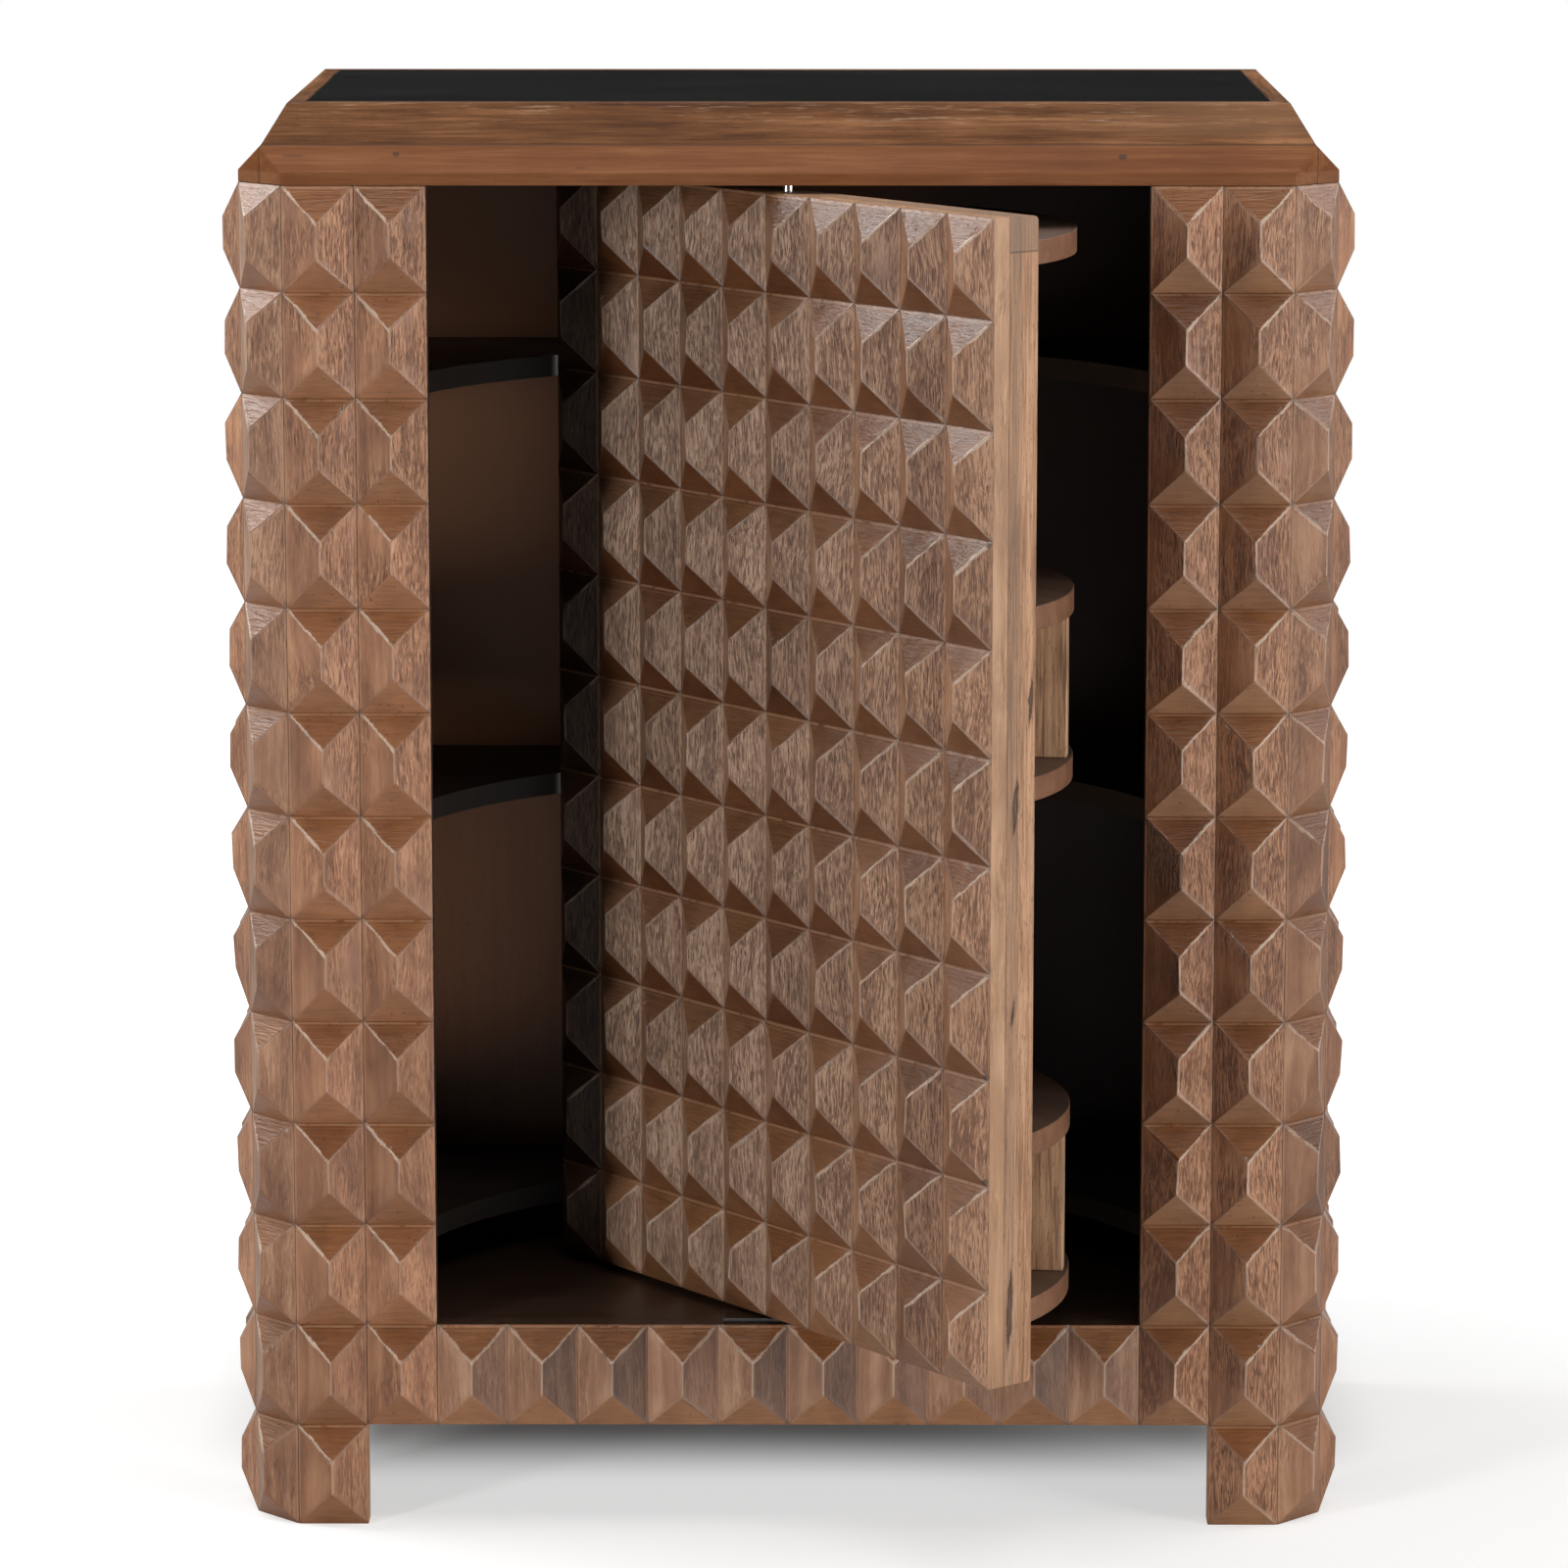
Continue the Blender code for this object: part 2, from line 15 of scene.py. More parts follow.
import bmesh
import bpy
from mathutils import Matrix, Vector

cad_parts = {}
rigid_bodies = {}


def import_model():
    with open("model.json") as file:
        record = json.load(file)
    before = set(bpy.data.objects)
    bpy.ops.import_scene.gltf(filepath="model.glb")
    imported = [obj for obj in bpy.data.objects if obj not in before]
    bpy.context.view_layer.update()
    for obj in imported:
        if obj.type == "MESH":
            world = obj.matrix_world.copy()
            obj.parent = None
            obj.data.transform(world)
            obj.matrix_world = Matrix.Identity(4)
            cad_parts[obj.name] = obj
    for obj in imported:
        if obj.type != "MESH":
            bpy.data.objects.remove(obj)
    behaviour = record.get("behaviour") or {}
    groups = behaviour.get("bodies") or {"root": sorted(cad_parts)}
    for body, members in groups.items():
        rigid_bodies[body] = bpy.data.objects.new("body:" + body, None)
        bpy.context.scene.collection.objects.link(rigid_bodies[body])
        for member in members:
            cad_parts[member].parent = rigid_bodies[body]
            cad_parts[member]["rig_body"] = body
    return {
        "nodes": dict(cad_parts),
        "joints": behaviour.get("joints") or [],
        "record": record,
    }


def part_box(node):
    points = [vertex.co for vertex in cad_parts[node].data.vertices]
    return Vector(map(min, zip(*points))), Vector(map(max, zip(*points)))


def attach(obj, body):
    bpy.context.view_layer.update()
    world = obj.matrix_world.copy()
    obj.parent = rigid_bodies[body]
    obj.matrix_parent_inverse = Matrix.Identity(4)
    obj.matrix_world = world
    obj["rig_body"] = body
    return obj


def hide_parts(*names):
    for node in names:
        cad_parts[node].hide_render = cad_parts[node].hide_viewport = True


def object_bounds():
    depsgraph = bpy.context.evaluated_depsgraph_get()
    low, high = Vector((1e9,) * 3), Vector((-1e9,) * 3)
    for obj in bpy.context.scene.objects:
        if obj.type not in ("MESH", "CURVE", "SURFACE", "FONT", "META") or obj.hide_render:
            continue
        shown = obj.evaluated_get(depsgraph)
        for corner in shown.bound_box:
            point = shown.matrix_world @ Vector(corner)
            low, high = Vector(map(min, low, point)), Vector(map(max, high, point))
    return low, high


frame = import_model()
nodes = frame["nodes"]
cad_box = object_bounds()
print("frame:", len(nodes), "nodes, box", [[round(v, 3) for v in corner] for corner in cad_box])

# %% [markdown]
# ## Sizes that the frame gives
#
# A carved block, the pivot and the angle at which the door stands are all in the frame
# already, so they are read from it. If the cabinet is made again in another size, this
# script then follows without an edit.

# %% Read sizes from the frame
rail_low, rail_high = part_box("bottom_rail")
BLOCK_H = rail_high.z - rail_low.z
rail_depths = sorted({round(v.co.y, 5) for v in nodes["bottom_rail"].data.vertices})
RIDGE_Y, FRONT_Y = rail_depths[0], rail_depths[1]
PIVOT = Vector(frame["joints"][0]["pos_m"])
print(f"block height {BLOCK_H:.4f}, relief {FRONT_Y - RIDGE_Y:.4f}")

# %% Read how the door stands
DOOR_ROWS = 11
slab = nodes["door_slab"].data
foot_z = min(v.co.z for v in slab.vertices)
foot = [v.co for v in slab.vertices if v.co.z < foot_z + 0.0001]
near_front = min(foot, key=lambda p: p.y)
near_back = max(foot, key=lambda p: p.x)
DOOR_BACKWARDS = (near_back - near_front).normalized()
DOOR_ALONG = Vector((DOOR_BACKWARDS.y, -DOOR_BACKWARDS.x, 0))
DOOR_ANGLE = math.atan2(-DOOR_ALONG.y, DOOR_ALONG.x)
DOOR_HALF = max((v.co - PIVOT).dot(DOOR_ALONG) for v in slab.vertices)
stave = nodes["door_stave_05"].data.vertices
DOOR_FOOT = min(v.co.z for v in stave)
DOOR_ROW = (max(v.co.z for v in stave) - DOOR_FOOT) / DOOR_ROWS
print(f"door at {math.degrees(DOOR_ANGLE):.1f} degrees, half width {DOOR_HALF:.4f}")

# %% [markdown]
# ## Camera
#
# The photograph was taken with a long lens from a little above the top. A camera that
# was fitted to the grid of blocks stands almost six metres away. The lens has no shift,
# so the other views keep the cabinet in the middle of the frame.

# %% Camera
LENS_MM, FILM_MM = 145.4, 36.0
TO_RIGHT, IN_FRONT, ABOVE_FLOOR = 0.0227, 5.676, 1.728
TILT_DOWN, TURN_LEFT = 10.266, 0.267  # degrees


def show(name, data):
    """A new object with this data, in the scene."""
    made = bpy.data.objects.new(name, data)
    bpy.context.scene.collection.objects.link(made)
    return made


camera_data = bpy.data.cameras.new("camera")
camera_data.lens = LENS_MM
camera_data.sensor_width = FILM_MM
camera = show("camera", camera_data)
camera.location = (TO_RIGHT, FRONT_Y - IN_FRONT, ABOVE_FLOOR)
camera.rotation_euler = (math.radians(90 - TILT_DOWN), 0.0, math.radians(TURN_LEFT))
bpy.context.scene.camera = camera
bpy.context.scene.view_settings.view_transform = "Standard"
print("camera", round((camera.location - PIVOT).length, 2), "m from the pivot")

# %% [markdown]
# ## Short names for nodes
#
# Every finish below is a small network of nodes. A few helpers keep that readable: one
# adds a node and sets or links its inputs in one call, and the others do sums with
# numbers, vectors and colours. A share or a mask is a number between 0 and 1.

# %% Helpers for sums
NUMBERS = ("LENGTH", "DISTANCE", "DOT_PRODUCT")


def node(tree, kind, inputs=None, **settings):
    """Adds a shader node. An input is linked if it is a socket, and set if it is a value."""
    made = tree.nodes.new("ShaderNode" + kind)
    for key, value in settings.items():
        setattr(made, key, value)
    for key, value in (inputs or {}).items():
        if isinstance(value, bpy.types.NodeSocket):
            tree.links.new(value, made.inputs[key])
        else:
            made.inputs[key].default_value = value
    return made


def sums(tree, operation, *values):
    return node(tree, "Math", dict(enumerate(values)), operation=operation).outputs[0]


def product(tree, first, *others):
    for other in others:
        first = sums(tree, "MULTIPLY", first, other)
    return first


def vectors(tree, operation, *values):
    """Sums with vectors. A length, a distance or a dot product comes out as a number."""
    made = node(tree, "VectorMath", dict(enumerate(values)), operation=operation)
    return made.outputs["Value" if operation in NUMBERS else "Vector"]


def split(tree, vector):
    """The x, y and z of a vector."""
    return node(tree, "SeparateXYZ", {0: vector}).outputs


def fade(tree, value, start, end):
    """0 at start, 1 at end, with a soft passage between them."""
    inputs = {"Value": value, "From Min": start, "From Max": end}
    return node(tree, "MapRange", inputs, interpolation_type="SMOOTHSTEP").outputs[0]


print("vector sums that give a number:", NUMBERS)

# %% Helpers for colours
DETAIL, ROUGH = 3.0, 0.6


def mix(tree, share, first, second, how="MIX"):
    """Two colours mixed by a share between 0 and 1."""
    inputs = {0: share, 6: first, 7: second}
    return node(tree, "Mix", inputs, data_type="RGBA", blend_type=how).outputs[2]


def tinted(tree, share, colour, factors):
    """A colour whose red, green and blue are multiplied, as far as the share says."""
    return mix(tree, share, colour, mix(tree, 1.0, colour, (*factors, 1.0), "MULTIPLY"))


def ramp(tree, value, *stops):
    """A colour for each value, from (place, colour) stops."""
    made = node(tree, "ValToRGB", {0: value})
    band = made.color_ramp
    while len(band.elements) < len(stops):
        band.elements.new(0.5)
    for element, (place, colour) in zip(band.elements, stops):
        element.position = place
        element.color = (*colour, 1.0)
    return made.outputs[0]


def grain(tree, place, size, detail=DETAIL, rough=ROUGH):
    """Noise whose patches are as long as size says along x, y and z, in metres."""
    scaled = vectors(tree, "MULTIPLY", place, [1 / length for length in size])
    inputs = {"Vector": scaled, "Scale": 1.0, "Detail": detail, "Roughness": rough}
    return node(tree, "TexNoise", inputs).outputs[0]


def object_place(tree):
    return node(tree, "TexCoord").outputs["Object"]


def new_finish(name):
    material = bpy.data.materials.new(name)
    material.use_nodes = True
    return material, material.node_tree, material.node_tree.nodes["Principled BSDF"]


print("grain has detail", DETAIL, "and roughness", ROUGH, "unless a finish says otherwise")

# %% [markdown]
# ## Light and floor
#
# The photograph is a studio picture: a large soft lamp far to the right, a narrow one to
# the left and one overhead, with a bright paper sweep behind and a dim room in front.
# That is why the blocks are bright on both flanks, and why the open door keeps the light
# off everything to the right of it. Two small lamps beside the cabinet only draw the
# white sheen on the slopes that look up and outwards. The white of the paper is for the
# eye alone: rays from the camera see it all round, while diffuse rays find a plain level.
# The floor is glowing paper for the eye too, but calmer in mirrors, so that the wood
# doesn't turn milky. Where the cabinet stands over it, its glow is cut: painted shadow.

# %% World
PAPER_LIGHT, ROOM_LIGHT = 0.08, 0.01
WHITE = (1.0, 1.0, 1.0, 1.0)
world = bpy.data.worlds.new("studio")
world.use_nodes = True
bpy.context.scene.world = world
tree = world.node_tree
towards = split(tree, node(tree, "TexCoord").outputs["Generated"])
behind = fade(tree, towards[1], -0.25, 0.35)
path = node(tree, "LightPath").outputs
mirrored = sums(tree, "MAXIMUM", path["Is Glossy Ray"], path["Is Transmission Ray"])
level = sums(tree, "MULTIPLY_ADD", behind, PAPER_LIGHT - ROOM_LIGHT, ROOM_LIGHT)
paper_seen = sums(tree, "MULTIPLY_ADD", behind, 1.0 - ROOM_LIGHT, ROOM_LIGHT)
level = sums(tree, "MAXIMUM", level, product(tree, mirrored, paper_seen))
level = sums(tree, "MAXIMUM", level, path["Is Camera Ray"])
background = tree.nodes["Background"]
background.inputs["Color"].default_value = WHITE
tree.links.new(level, background.inputs["Strength"])
print("world: paper", PAPER_LIGHT, "room", ROOM_LIGHT)

# %% Lamps
AIM = Vector((0, 0, 0.7))
LAMPS = (  # name, degrees to the right of the front, metres away, height, watts, size
    ("right_lamp", 57.0, 10.0, 1.2, 780.0, (3.2, 4.0)),
    ("left_lamp", -44.0, 6.0, 1.7, 152.0, (0.9, 2.0)),
    ("top_lamp", 0.0, 0.4, 4.5, 74.0, (3.0, 3.0)),
    ("right_rim", 100.0, 2.4, 2.55, 18.0, (1.5, 0.8)),
    ("left_rim", -100.0, 2.4, 2.55, 44.0, (1.5, 0.8)),
)
for name, bearing, away, height, power, size in LAMPS:
    data = bpy.data.lights.new(name, "AREA")
    data.energy = power
    data.shape = "RECTANGLE"
    data.size, data.size_y = size
    lamp = show(name, data)
    turn = math.radians(bearing)
    lamp.location = (away * math.sin(turn), -away * math.cos(turn), height)
    lamp.rotation_euler = (AIM - lamp.location).to_track_quat("-Z", "Y").to_euler()

# %% Floor
FLOOR_SIDE = 14.0
half = FLOOR_SIDE / 2
corners = [(-half, -half, 0), (half, -half, 0), (half, half, 0), (-half, half, 0)]
mesh = bpy.data.meshes.new("floor")
mesh.from_pydata(corners, [], [(0, 1, 2, 3)])
floor = show("floor", mesh)
white_paper, tree, shader = new_finish("white_paper")
mesh.materials.append(white_paper)
place = object_place(tree)
speckle = grain(tree, place, (0.004, 0.004, 0.004))
tint = ramp(tree, speckle, (0.3, (0.60, 0.60, 0.60)), (0.7, (0.64, 0.64, 0.64)))
tree.links.new(tint, shader.inputs["Base Color"])
shader.inputs["Roughness"].default_value = 0.9
shader.inputs["Specular IOR Level"].default_value = 0.0
print("floor", FLOOR_SIDE, "m square")

# %% Glow of the floor
PAPER_GLOW, PAINTED_SHADOW_LOSS, MIRROR_SHARE = 0.55, 0.50, 0.25
spread = split(tree, place)
away = vectors(tree, "LENGTH", place)
beside = fade(tree, sums(tree, "ABSOLUTE", spread[0]), 0.60, 0.38)
# Painted shadow: the glow is cut where the cabinet stands over the floor.
under = product(
    tree, fade(tree, spread[1], 0.0, 0.20), beside, fade(tree, spread[1], 0.75, 0.40)
)
glow = sums(tree, "MULTIPLY_ADD", fade(tree, away, 0.7, 2.2), 1.0 - PAPER_GLOW, PAPER_GLOW)
glow = sums(tree, "MULTIPLY_ADD", under, -PAINTED_SHADOW_LOSS, glow)
path = node(tree, "LightPath").outputs
mirrored = sums(tree, "MAXIMUM", path["Is Glossy Ray"], path["Is Transmission Ray"])
mirrored = product(tree, mirrored, MIRROR_SHARE)
seen = sums(tree, "MAXIMUM", mirrored, path["Is Camera Ray"])
tree.links.new(product(tree, seen, glow), shader.inputs["Emission Strength"])
shader.inputs["Emission Color"].default_value = WHITE
print("floor glow", PAPER_GLOW, "near the cabinet, 1.0 far away")

# %% [markdown]
# ## Carved wood
#
# The staves are sawn from a brown open-pored wood. On the two sides of a block the saw
# runs along the fibre, so they show streaks and pores and catch pale light. The two
# ends cut across the fibre: they are smooth, darker and redder. Ridges and hips are
# painted pale, partly as wear and partly as a painted highlight on the side that faces
# the light, and valleys stay dark, with painted shade where they meet. A picture could
# be painted for all this, but a network of nodes works at any distance and on every
# stave. It reads what the next step puts on each facet: how far a point is from the
# block's middle, the facet's own tone with the painted light and shade of its side, how
# much painted grey sheen it has, its painted shade on the door and dark stain on flat
# faces inside, and whether it is lit from the right.

# %% Places on a block
ACROSS_HIP = 0.707  # hips run at 45 degrees
carved_wood, tree, shader = new_finish("carved_wood")
block_size = node(tree, "Attribute", attribute_name="block_size").outputs["Vector"]
half_width, half_height, tone = split(tree, block_size)
from_middle = node(tree, "UVMap", uv_map="from_middle").outputs[0]
sideways, upwards = split(tree, from_middle)[:2]
# Each facet carries three shifts: painted grey sheen; painted shade on door blocks and dark stain
# on flat faces inside; and whether its right side is lit.
shift = node(tree, "Attribute", attribute_name="shift").outputs["Vector"]
sheen_grey, stain_and_shade, right_lit = split(tree, shift)
to_side = sums(tree, "SUBTRACT", half_width, sums(tree, "ABSOLUTE", sideways))
to_end = sums(tree, "SUBTRACT", half_height, sums(tree, "ABSOLUTE", upwards))
beyond = sums(tree, "SUBTRACT", to_side, to_end)
hip = product(tree, sums(tree, "ABSOLUTE", beyond), ACROSS_HIP)
above = fade(tree, upwards, -0.003, 0.003)
on_right = fade(tree, sideways, -0.002, 0.002)
crisp_end = fade(tree, beyond, -0.0004, 0.0004)
soft_end = fade(tree, beyond, -0.0075, 0.0045)
crisper = sums(tree, "SUBTRACT", crisp_end, soft_end)
on_end = sums(tree, "MULTIPLY_ADD", above, crisper, soft_end)
print("a block is measured from its ridge, hips and valleys")

# %% Fibres, pores and rings
FIBRE, HAIR, PORE_GAP, RING = 0.0022, 0.0014, 0.0011, 0.0024
SWAYS = ((8.0, 0.022), (40.0, 0.0022))  # how often in a metre, how far
raw_place = object_place(tree)
raw_height = split(tree, raw_place)[2]
own = {0: product(tree, tone, 7.0), 2: product(tree, tone, 3.0)}
place = vectors(tree, "ADD", raw_place, node(tree, "CombineXYZ", own).outputs[0])
swayed = place
for often, far in SWAYS:
    inputs = {"Vector": place, "Scale": often, "Detail": 1.0}
    sway = node(tree, "TexNoise", inputs).outputs[1]
    sway = vectors(tree, "SUBTRACT", sway, (0.5, 0.5, 0.5))
    sway = vectors(tree, "MULTIPLY", sway, (far, far, 0.0))
    swayed = vectors(tree, "ADD", swayed, sway)

fibres = grain(tree, swayed, (FIBRE, FIBRE, 0.034), 3.0, 0.65)
hairs = grain(tree, swayed, (HAIR, HAIR, 0.011), 2.0, 0.6)
pores = grain(tree, swayed, (PORE_GAP, PORE_GAP, 0.011), 1.0, 0.5)
bands = grain(tree, swayed, (0.011, 0.011, 0.30), 2.0, 0.5)
cloud = grain(tree, place, (0.035, 0.035, 0.06), 2.0, 0.5)
rings = grain(tree, place, (0.024, 0.024, RING), 3.0, 0.65)
specks = fade(tree, grain(tree, place, (0.0035, 0.0035, 0.0035), 1.0, 0.5), 0.70, 0.76)
print("fibres", FIBRE, "m wide, hairs", HAIR, "m, rings", RING, "m apart")

# %% Brushing
# Where the wood was brushed its fibres stand out: in patches, more on the right side,
# less where it carries painted grey sheen but no painted shade, and less low down on
# the left.
LEAST_BRUSHED = 0.22
patches = grain(tree, place, (0.05, 0.05, 0.07), 1.0, 0.5)
patches = sums(tree, "MULTIPLY_ADD", on_right, 0.20, patches)
patches = fade(tree, sums(tree, "MULTIPLY_ADD", right_lit, 0.08, patches), 0.46, 0.68)
sheen_unshaded = sums(tree, "SUBTRACT", sheen_grey, product(tree, sheen_grey, stain_and_shade))
reach = sums(tree, "MULTIPLY_ADD", sheen_unshaded, -0.75, 1.0 - LEAST_BRUSHED)
brushed = sums(tree, "MULTIPLY_ADD", patches, reach, LEAST_BRUSHED)
worn_low = sums(tree, "MULTIPLY_ADD", fade(tree, raw_height, 1.10, 0.45), -0.50, 1.0)
brushed = product(tree, brushed, sums(tree, "MAXIMUM", worn_low, right_lit))
strands = sums(tree, "MULTIPLY_ADD", fibres, 0.60, product(tree, hairs, 0.55))
strands = product(tree, sums(tree, "SUBTRACT", strands, 0.575), brushed)
pore_share = product(tree, fade(tree, pores, 0.56, 0.66), brushed, 0.65)
print("fibres brushed out by", LEAST_BRUSHED, "or more, and by half of that low on the left")

# %% Colours along the fibre
PALE, TAN, UMBER = (0.47, 0.236, 0.122), (0.32, 0.138, 0.065), (0.175, 0.068, 0.029)
PORE = (0.080, 0.034, 0.017, 1.0)
SIDE_SHEEN_GREY = (0.92, 1.24, 1.64)
FLAT_BROWNS = ((0.243, 0.120, 0.057), (0.378, 0.198, 0.098), (0.495, 0.283, 0.155))
INSIDE_DARK, INSIDE_LIGHT = (0.030, 0.015, 0.008), (0.058, 0.030, 0.017)
STOPS = (0.405, 0.495, 0.575)
figure = sums(tree, "MULTIPLY_ADD", bands, 0.24, product(tree, cloud, 0.22))
figure = sums(tree, "ADD", sums(tree, "ADD", figure, 0.27), strands)
long_grain = ramp(tree, figure, *zip(STOPS, (UMBER, TAN, PALE)))
long_grain = mix(tree, pore_share, long_grain, PORE)
# Painted sheen: side facets are tinted grey-blue as far as their grey share says.
long_grain = tinted(tree, sheen_grey, long_grain, SIDE_SHEEN_GREY)
# Flat faces carry a place far to the left of any block, and a stain if they look inside.
flat_grain = ramp(tree, figure, *zip(STOPS, FLAT_BROWNS))
inside = fade(tree, raw_height, rail_low.z - 0.0005, rail_low.z + 0.0005)
inside_grain = ramp(tree, figure, (STOPS[0], INSIDE_DARK), (STOPS[2], INSIDE_LIGHT))
flat_grain = mix(tree, product(tree, stain_and_shade, inside), flat_grain, inside_grain)
long_grain = mix(tree, fade(tree, sideways, -0.3, -0.4), long_grain, flat_grain)
print("side browns", UMBER, TAN, PALE)

# %% Colours across the fibre
END_DARK, END_LIGHT = (0.170, 0.060, 0.019), (0.262, 0.099, 0.0325)
# The ends that look down are painted lighter, as painted light from the bright floor, and lighter
# still on staves lit from the right.
LIT_UNDER_DARK, LIT_UNDER_LIGHT = (0.212, 0.0855, 0.0342), (0.305, 0.128, 0.0535)
RIGHT_LIT_UNDER, SHADED_UNDER = (1.19, 1.37, 1.52), (0.40, 0.30, 0.25)
END_SHEEN_GREY, FAR_END_SHEEN, SHADED_ENDS = (1.06, 1.18, 1.36), (1.72, 2.15, 3.0), (0.67, 0.71, 0.83)
SPECK = (0.05, 0.024, 0.012, 1.0)
ring_mix = sums(tree, "MULTIPLY_ADD", cloud, 0.5, product(tree, rings, 0.5))
lit_lower_end = ramp(tree, ring_mix, (0.36, LIT_UNDER_DARK), (0.62, LIT_UNDER_LIGHT))
lit_lower_end = tinted(tree, right_lit, lit_lower_end, RIGHT_LIT_UNDER)
# Painted shade on the door's lower ends.
lit_lower_end = tinted(tree, stain_and_shade, lit_lower_end, SHADED_UNDER)
upper_end = ramp(tree, ring_mix, (0.36, END_DARK), (0.62, END_LIGHT))
# Painted sheen on the ends that look up: grey, and far paler on the far door staves.
upper_end = tinted(tree, sheen_grey, upper_end, END_SHEEN_GREY)
upper_end = tinted(tree, sums(tree, "POWER", sheen_grey, 10.0), upper_end, FAR_END_SHEEN)
# Painted shade on the door's upper ends.
upper_end = tinted(tree, stain_and_shade, upper_end, SHADED_ENDS)
end_grain = mix(tree, above, lit_lower_end, upper_end)
end_grain = mix(tree, product(tree, specks, 0.55), end_grain, SPECK)
print("end browns", END_DARK, END_LIGHT, "below", LIT_UNDER_DARK, LIT_UNDER_LIGHT)

# %% Tone of each block
# The darkest stop is reached by the far door stave alone, as painted shadow.
TONES = (
    (0.0, (0.20, 0.17, 0.15)), (0.125, (0.56, 0.51, 0.48)), (0.25, (0.74, 0.69, 0.65)),
    (0.5, (1.0, 1.0, 1.0)), (0.75, (1.17, 1.18, 1.20)), (1.0, (1.32, 1.34, 1.37)),
)
colour = mix(tree, on_end, long_grain, end_grain)
shade = ramp(tree, sums(tree, "MULTIPLY_ADD", tone, 0.5, 0.25), *TONES)
colour = mix(tree, 1.0, colour, shade, "MULTIPLY")
print("tones from", TONES[0][1], "to", TONES[-1][1])

# %% Hips and ridges: wear and painted highlights
# Hips and ridges are painted pale: partly wear, and partly a painted highlight that is
# strongest on the side that faces the light. Far door staves lie in painted shade and
# get less of it.
WEAR_AND_HIGHLIGHT = (0.62, 0.46, 0.35, 1.0)
HIP_BAND_FROM, HIP_BAND_TO = 0.008, 0.014  # above or below a block's middle
upper = fade(tree, upwards, HIP_BAND_FROM, HIP_BAND_TO)
lower_too = product(tree, fade(tree, upwards, -HIP_BAND_FROM, -HIP_BAND_TO), right_lit, 0.30)
wear_and_light_band = sums(tree, "MAXIMUM", upper, lower_too)
turned = sums(tree, "ABSOLUTE", sums(tree, "SUBTRACT", on_right, right_lit))
far_in_shade = product(tree, stain_and_shade, fade(tree, sheen_grey, 0.40, 0.80))
bright_hip = sums(tree, "MULTIPLY_ADD", turned, -0.78, 0.95)
bright_hip = product(tree, bright_hip, sums(tree, "MULTIPLY_ADD", far_in_shade, -0.72, 1.0))
blotches = grain(tree, place, (0.016, 0.016, 0.016), 2.0, 0.5)
ragged = sums(tree, "MULTIPLY_ADD", blotches, 0.0050, sums(tree, "SUBTRACT", hip, 0.0025))
ragged = sums(tree, "MULTIPLY_ADD", hairs, 0.0030, sums(tree, "SUBTRACT", ragged, 0.0015))
hip_wear_and_highlight = product(tree, fade(tree, ragged, 0.0017, 0.0003), fade(tree, hip, 0.0036, 0.0022))
colour = mix(tree, product(tree, hip_wear_and_highlight, wear_and_light_band, bright_hip), colour, WEAR_AND_HIGHLIGHT)
# The ridge line is partly wear and partly a painted highlight, brighter on staves lit from the
# right.
ridge = fade(tree, sums(tree, "ABSOLUTE", sideways), 0.0014, 0.0005)
ridge = product(tree, ridge, fade(tree, beyond, 0.0, -0.002))
ridge = product(tree, ridge, sums(tree, "MULTIPLY_ADD", right_lit, 0.35, 0.25))
ridge = product(tree, ridge, sums(tree, "MULTIPLY_ADD", far_in_shade, -0.70, 1.0))
colour = mix(tree, ridge, colour, WEAR_AND_HIGHLIGHT)
print("hips and ridges rubbed to", WEAR_AND_HIGHLIGHT[:3])

# %% Chips and seams
CHIPPED, ROW_VALLEY_DARK = (0.56, 0.45, 0.37, 1.0), (0.075, 0.034, 0.018, 1.0)
LEVEL_LIGHT, UPRIGHT_LIGHT = (0.40, 0.215, 0.125, 1.0), (0.42, 0.225, 0.125, 1.0)
JOINT_DARK, CORNER_SHADE = (0.070, 0.030, 0.014, 1.0), (0.06, 0.028, 0.015, 1.0)
LIGHT_LINES = ((0.0017, 0.0013, 0.60), (0.0050, 0.0006, 0.18))  # place, width, share
patchy = grain(tree, place, (0.012, 0.012, 0.012))
broken = fade(tree, grain(tree, place, (0.022, 0.022, 0.022)), 0.64, 0.69)
chips = product(tree, fade(tree, hip, 0.0042, 0.0014), broken)
chips = product(tree, chips, upper, fade(tree, hairs, 0.42, 0.58))
colour = mix(tree, product(tree, chips, 0.85), colour, CHIPPED)
# A thin dark line along each row valley.
row_valley_line = product(tree, fade(tree, to_end, 0.0008, 0.0003), 0.16)
colour = mix(tree, row_valley_line, colour, ROW_VALLEY_DARK)
for off, wide, share in LIGHT_LINES:
    gap = sums(tree, "ABSOLUTE", sums(tree, "SUBTRACT", to_end, off))
    light_line = product(tree, fade(tree, gap, wide, wide * 0.4), fade(tree, patchy, 0.32, 0.46))
    colour = mix(tree, product(tree, light_line, above, share), colour, LEVEL_LIGHT)
upright_seam = product(
    tree, fade(tree, to_side, 0.0022, 0.0012), fade(tree, to_side, 0.0003, 0.0007),
    fade(tree, to_end, 0.003, 0.009), 0.50,
)
colour = mix(tree, upright_seam, colour, UPRIGHT_LIGHT)
joint_line = product(tree, fade(tree, to_side, 0.0005, 0.0002), 0.25)
colour = mix(tree, joint_line, colour, JOINT_DARK)
# Painted shade in the corners of each block, where the valleys meet.
corner = fade(tree, sums(tree, "MAXIMUM", to_side, to_end), 0.0050, 0.0012)
colour = mix(tree, product(tree, corner, 0.35), colour, CORNER_SHADE)
print("chips, seams and", len(LIGHT_LINES), "light lines above each seam")

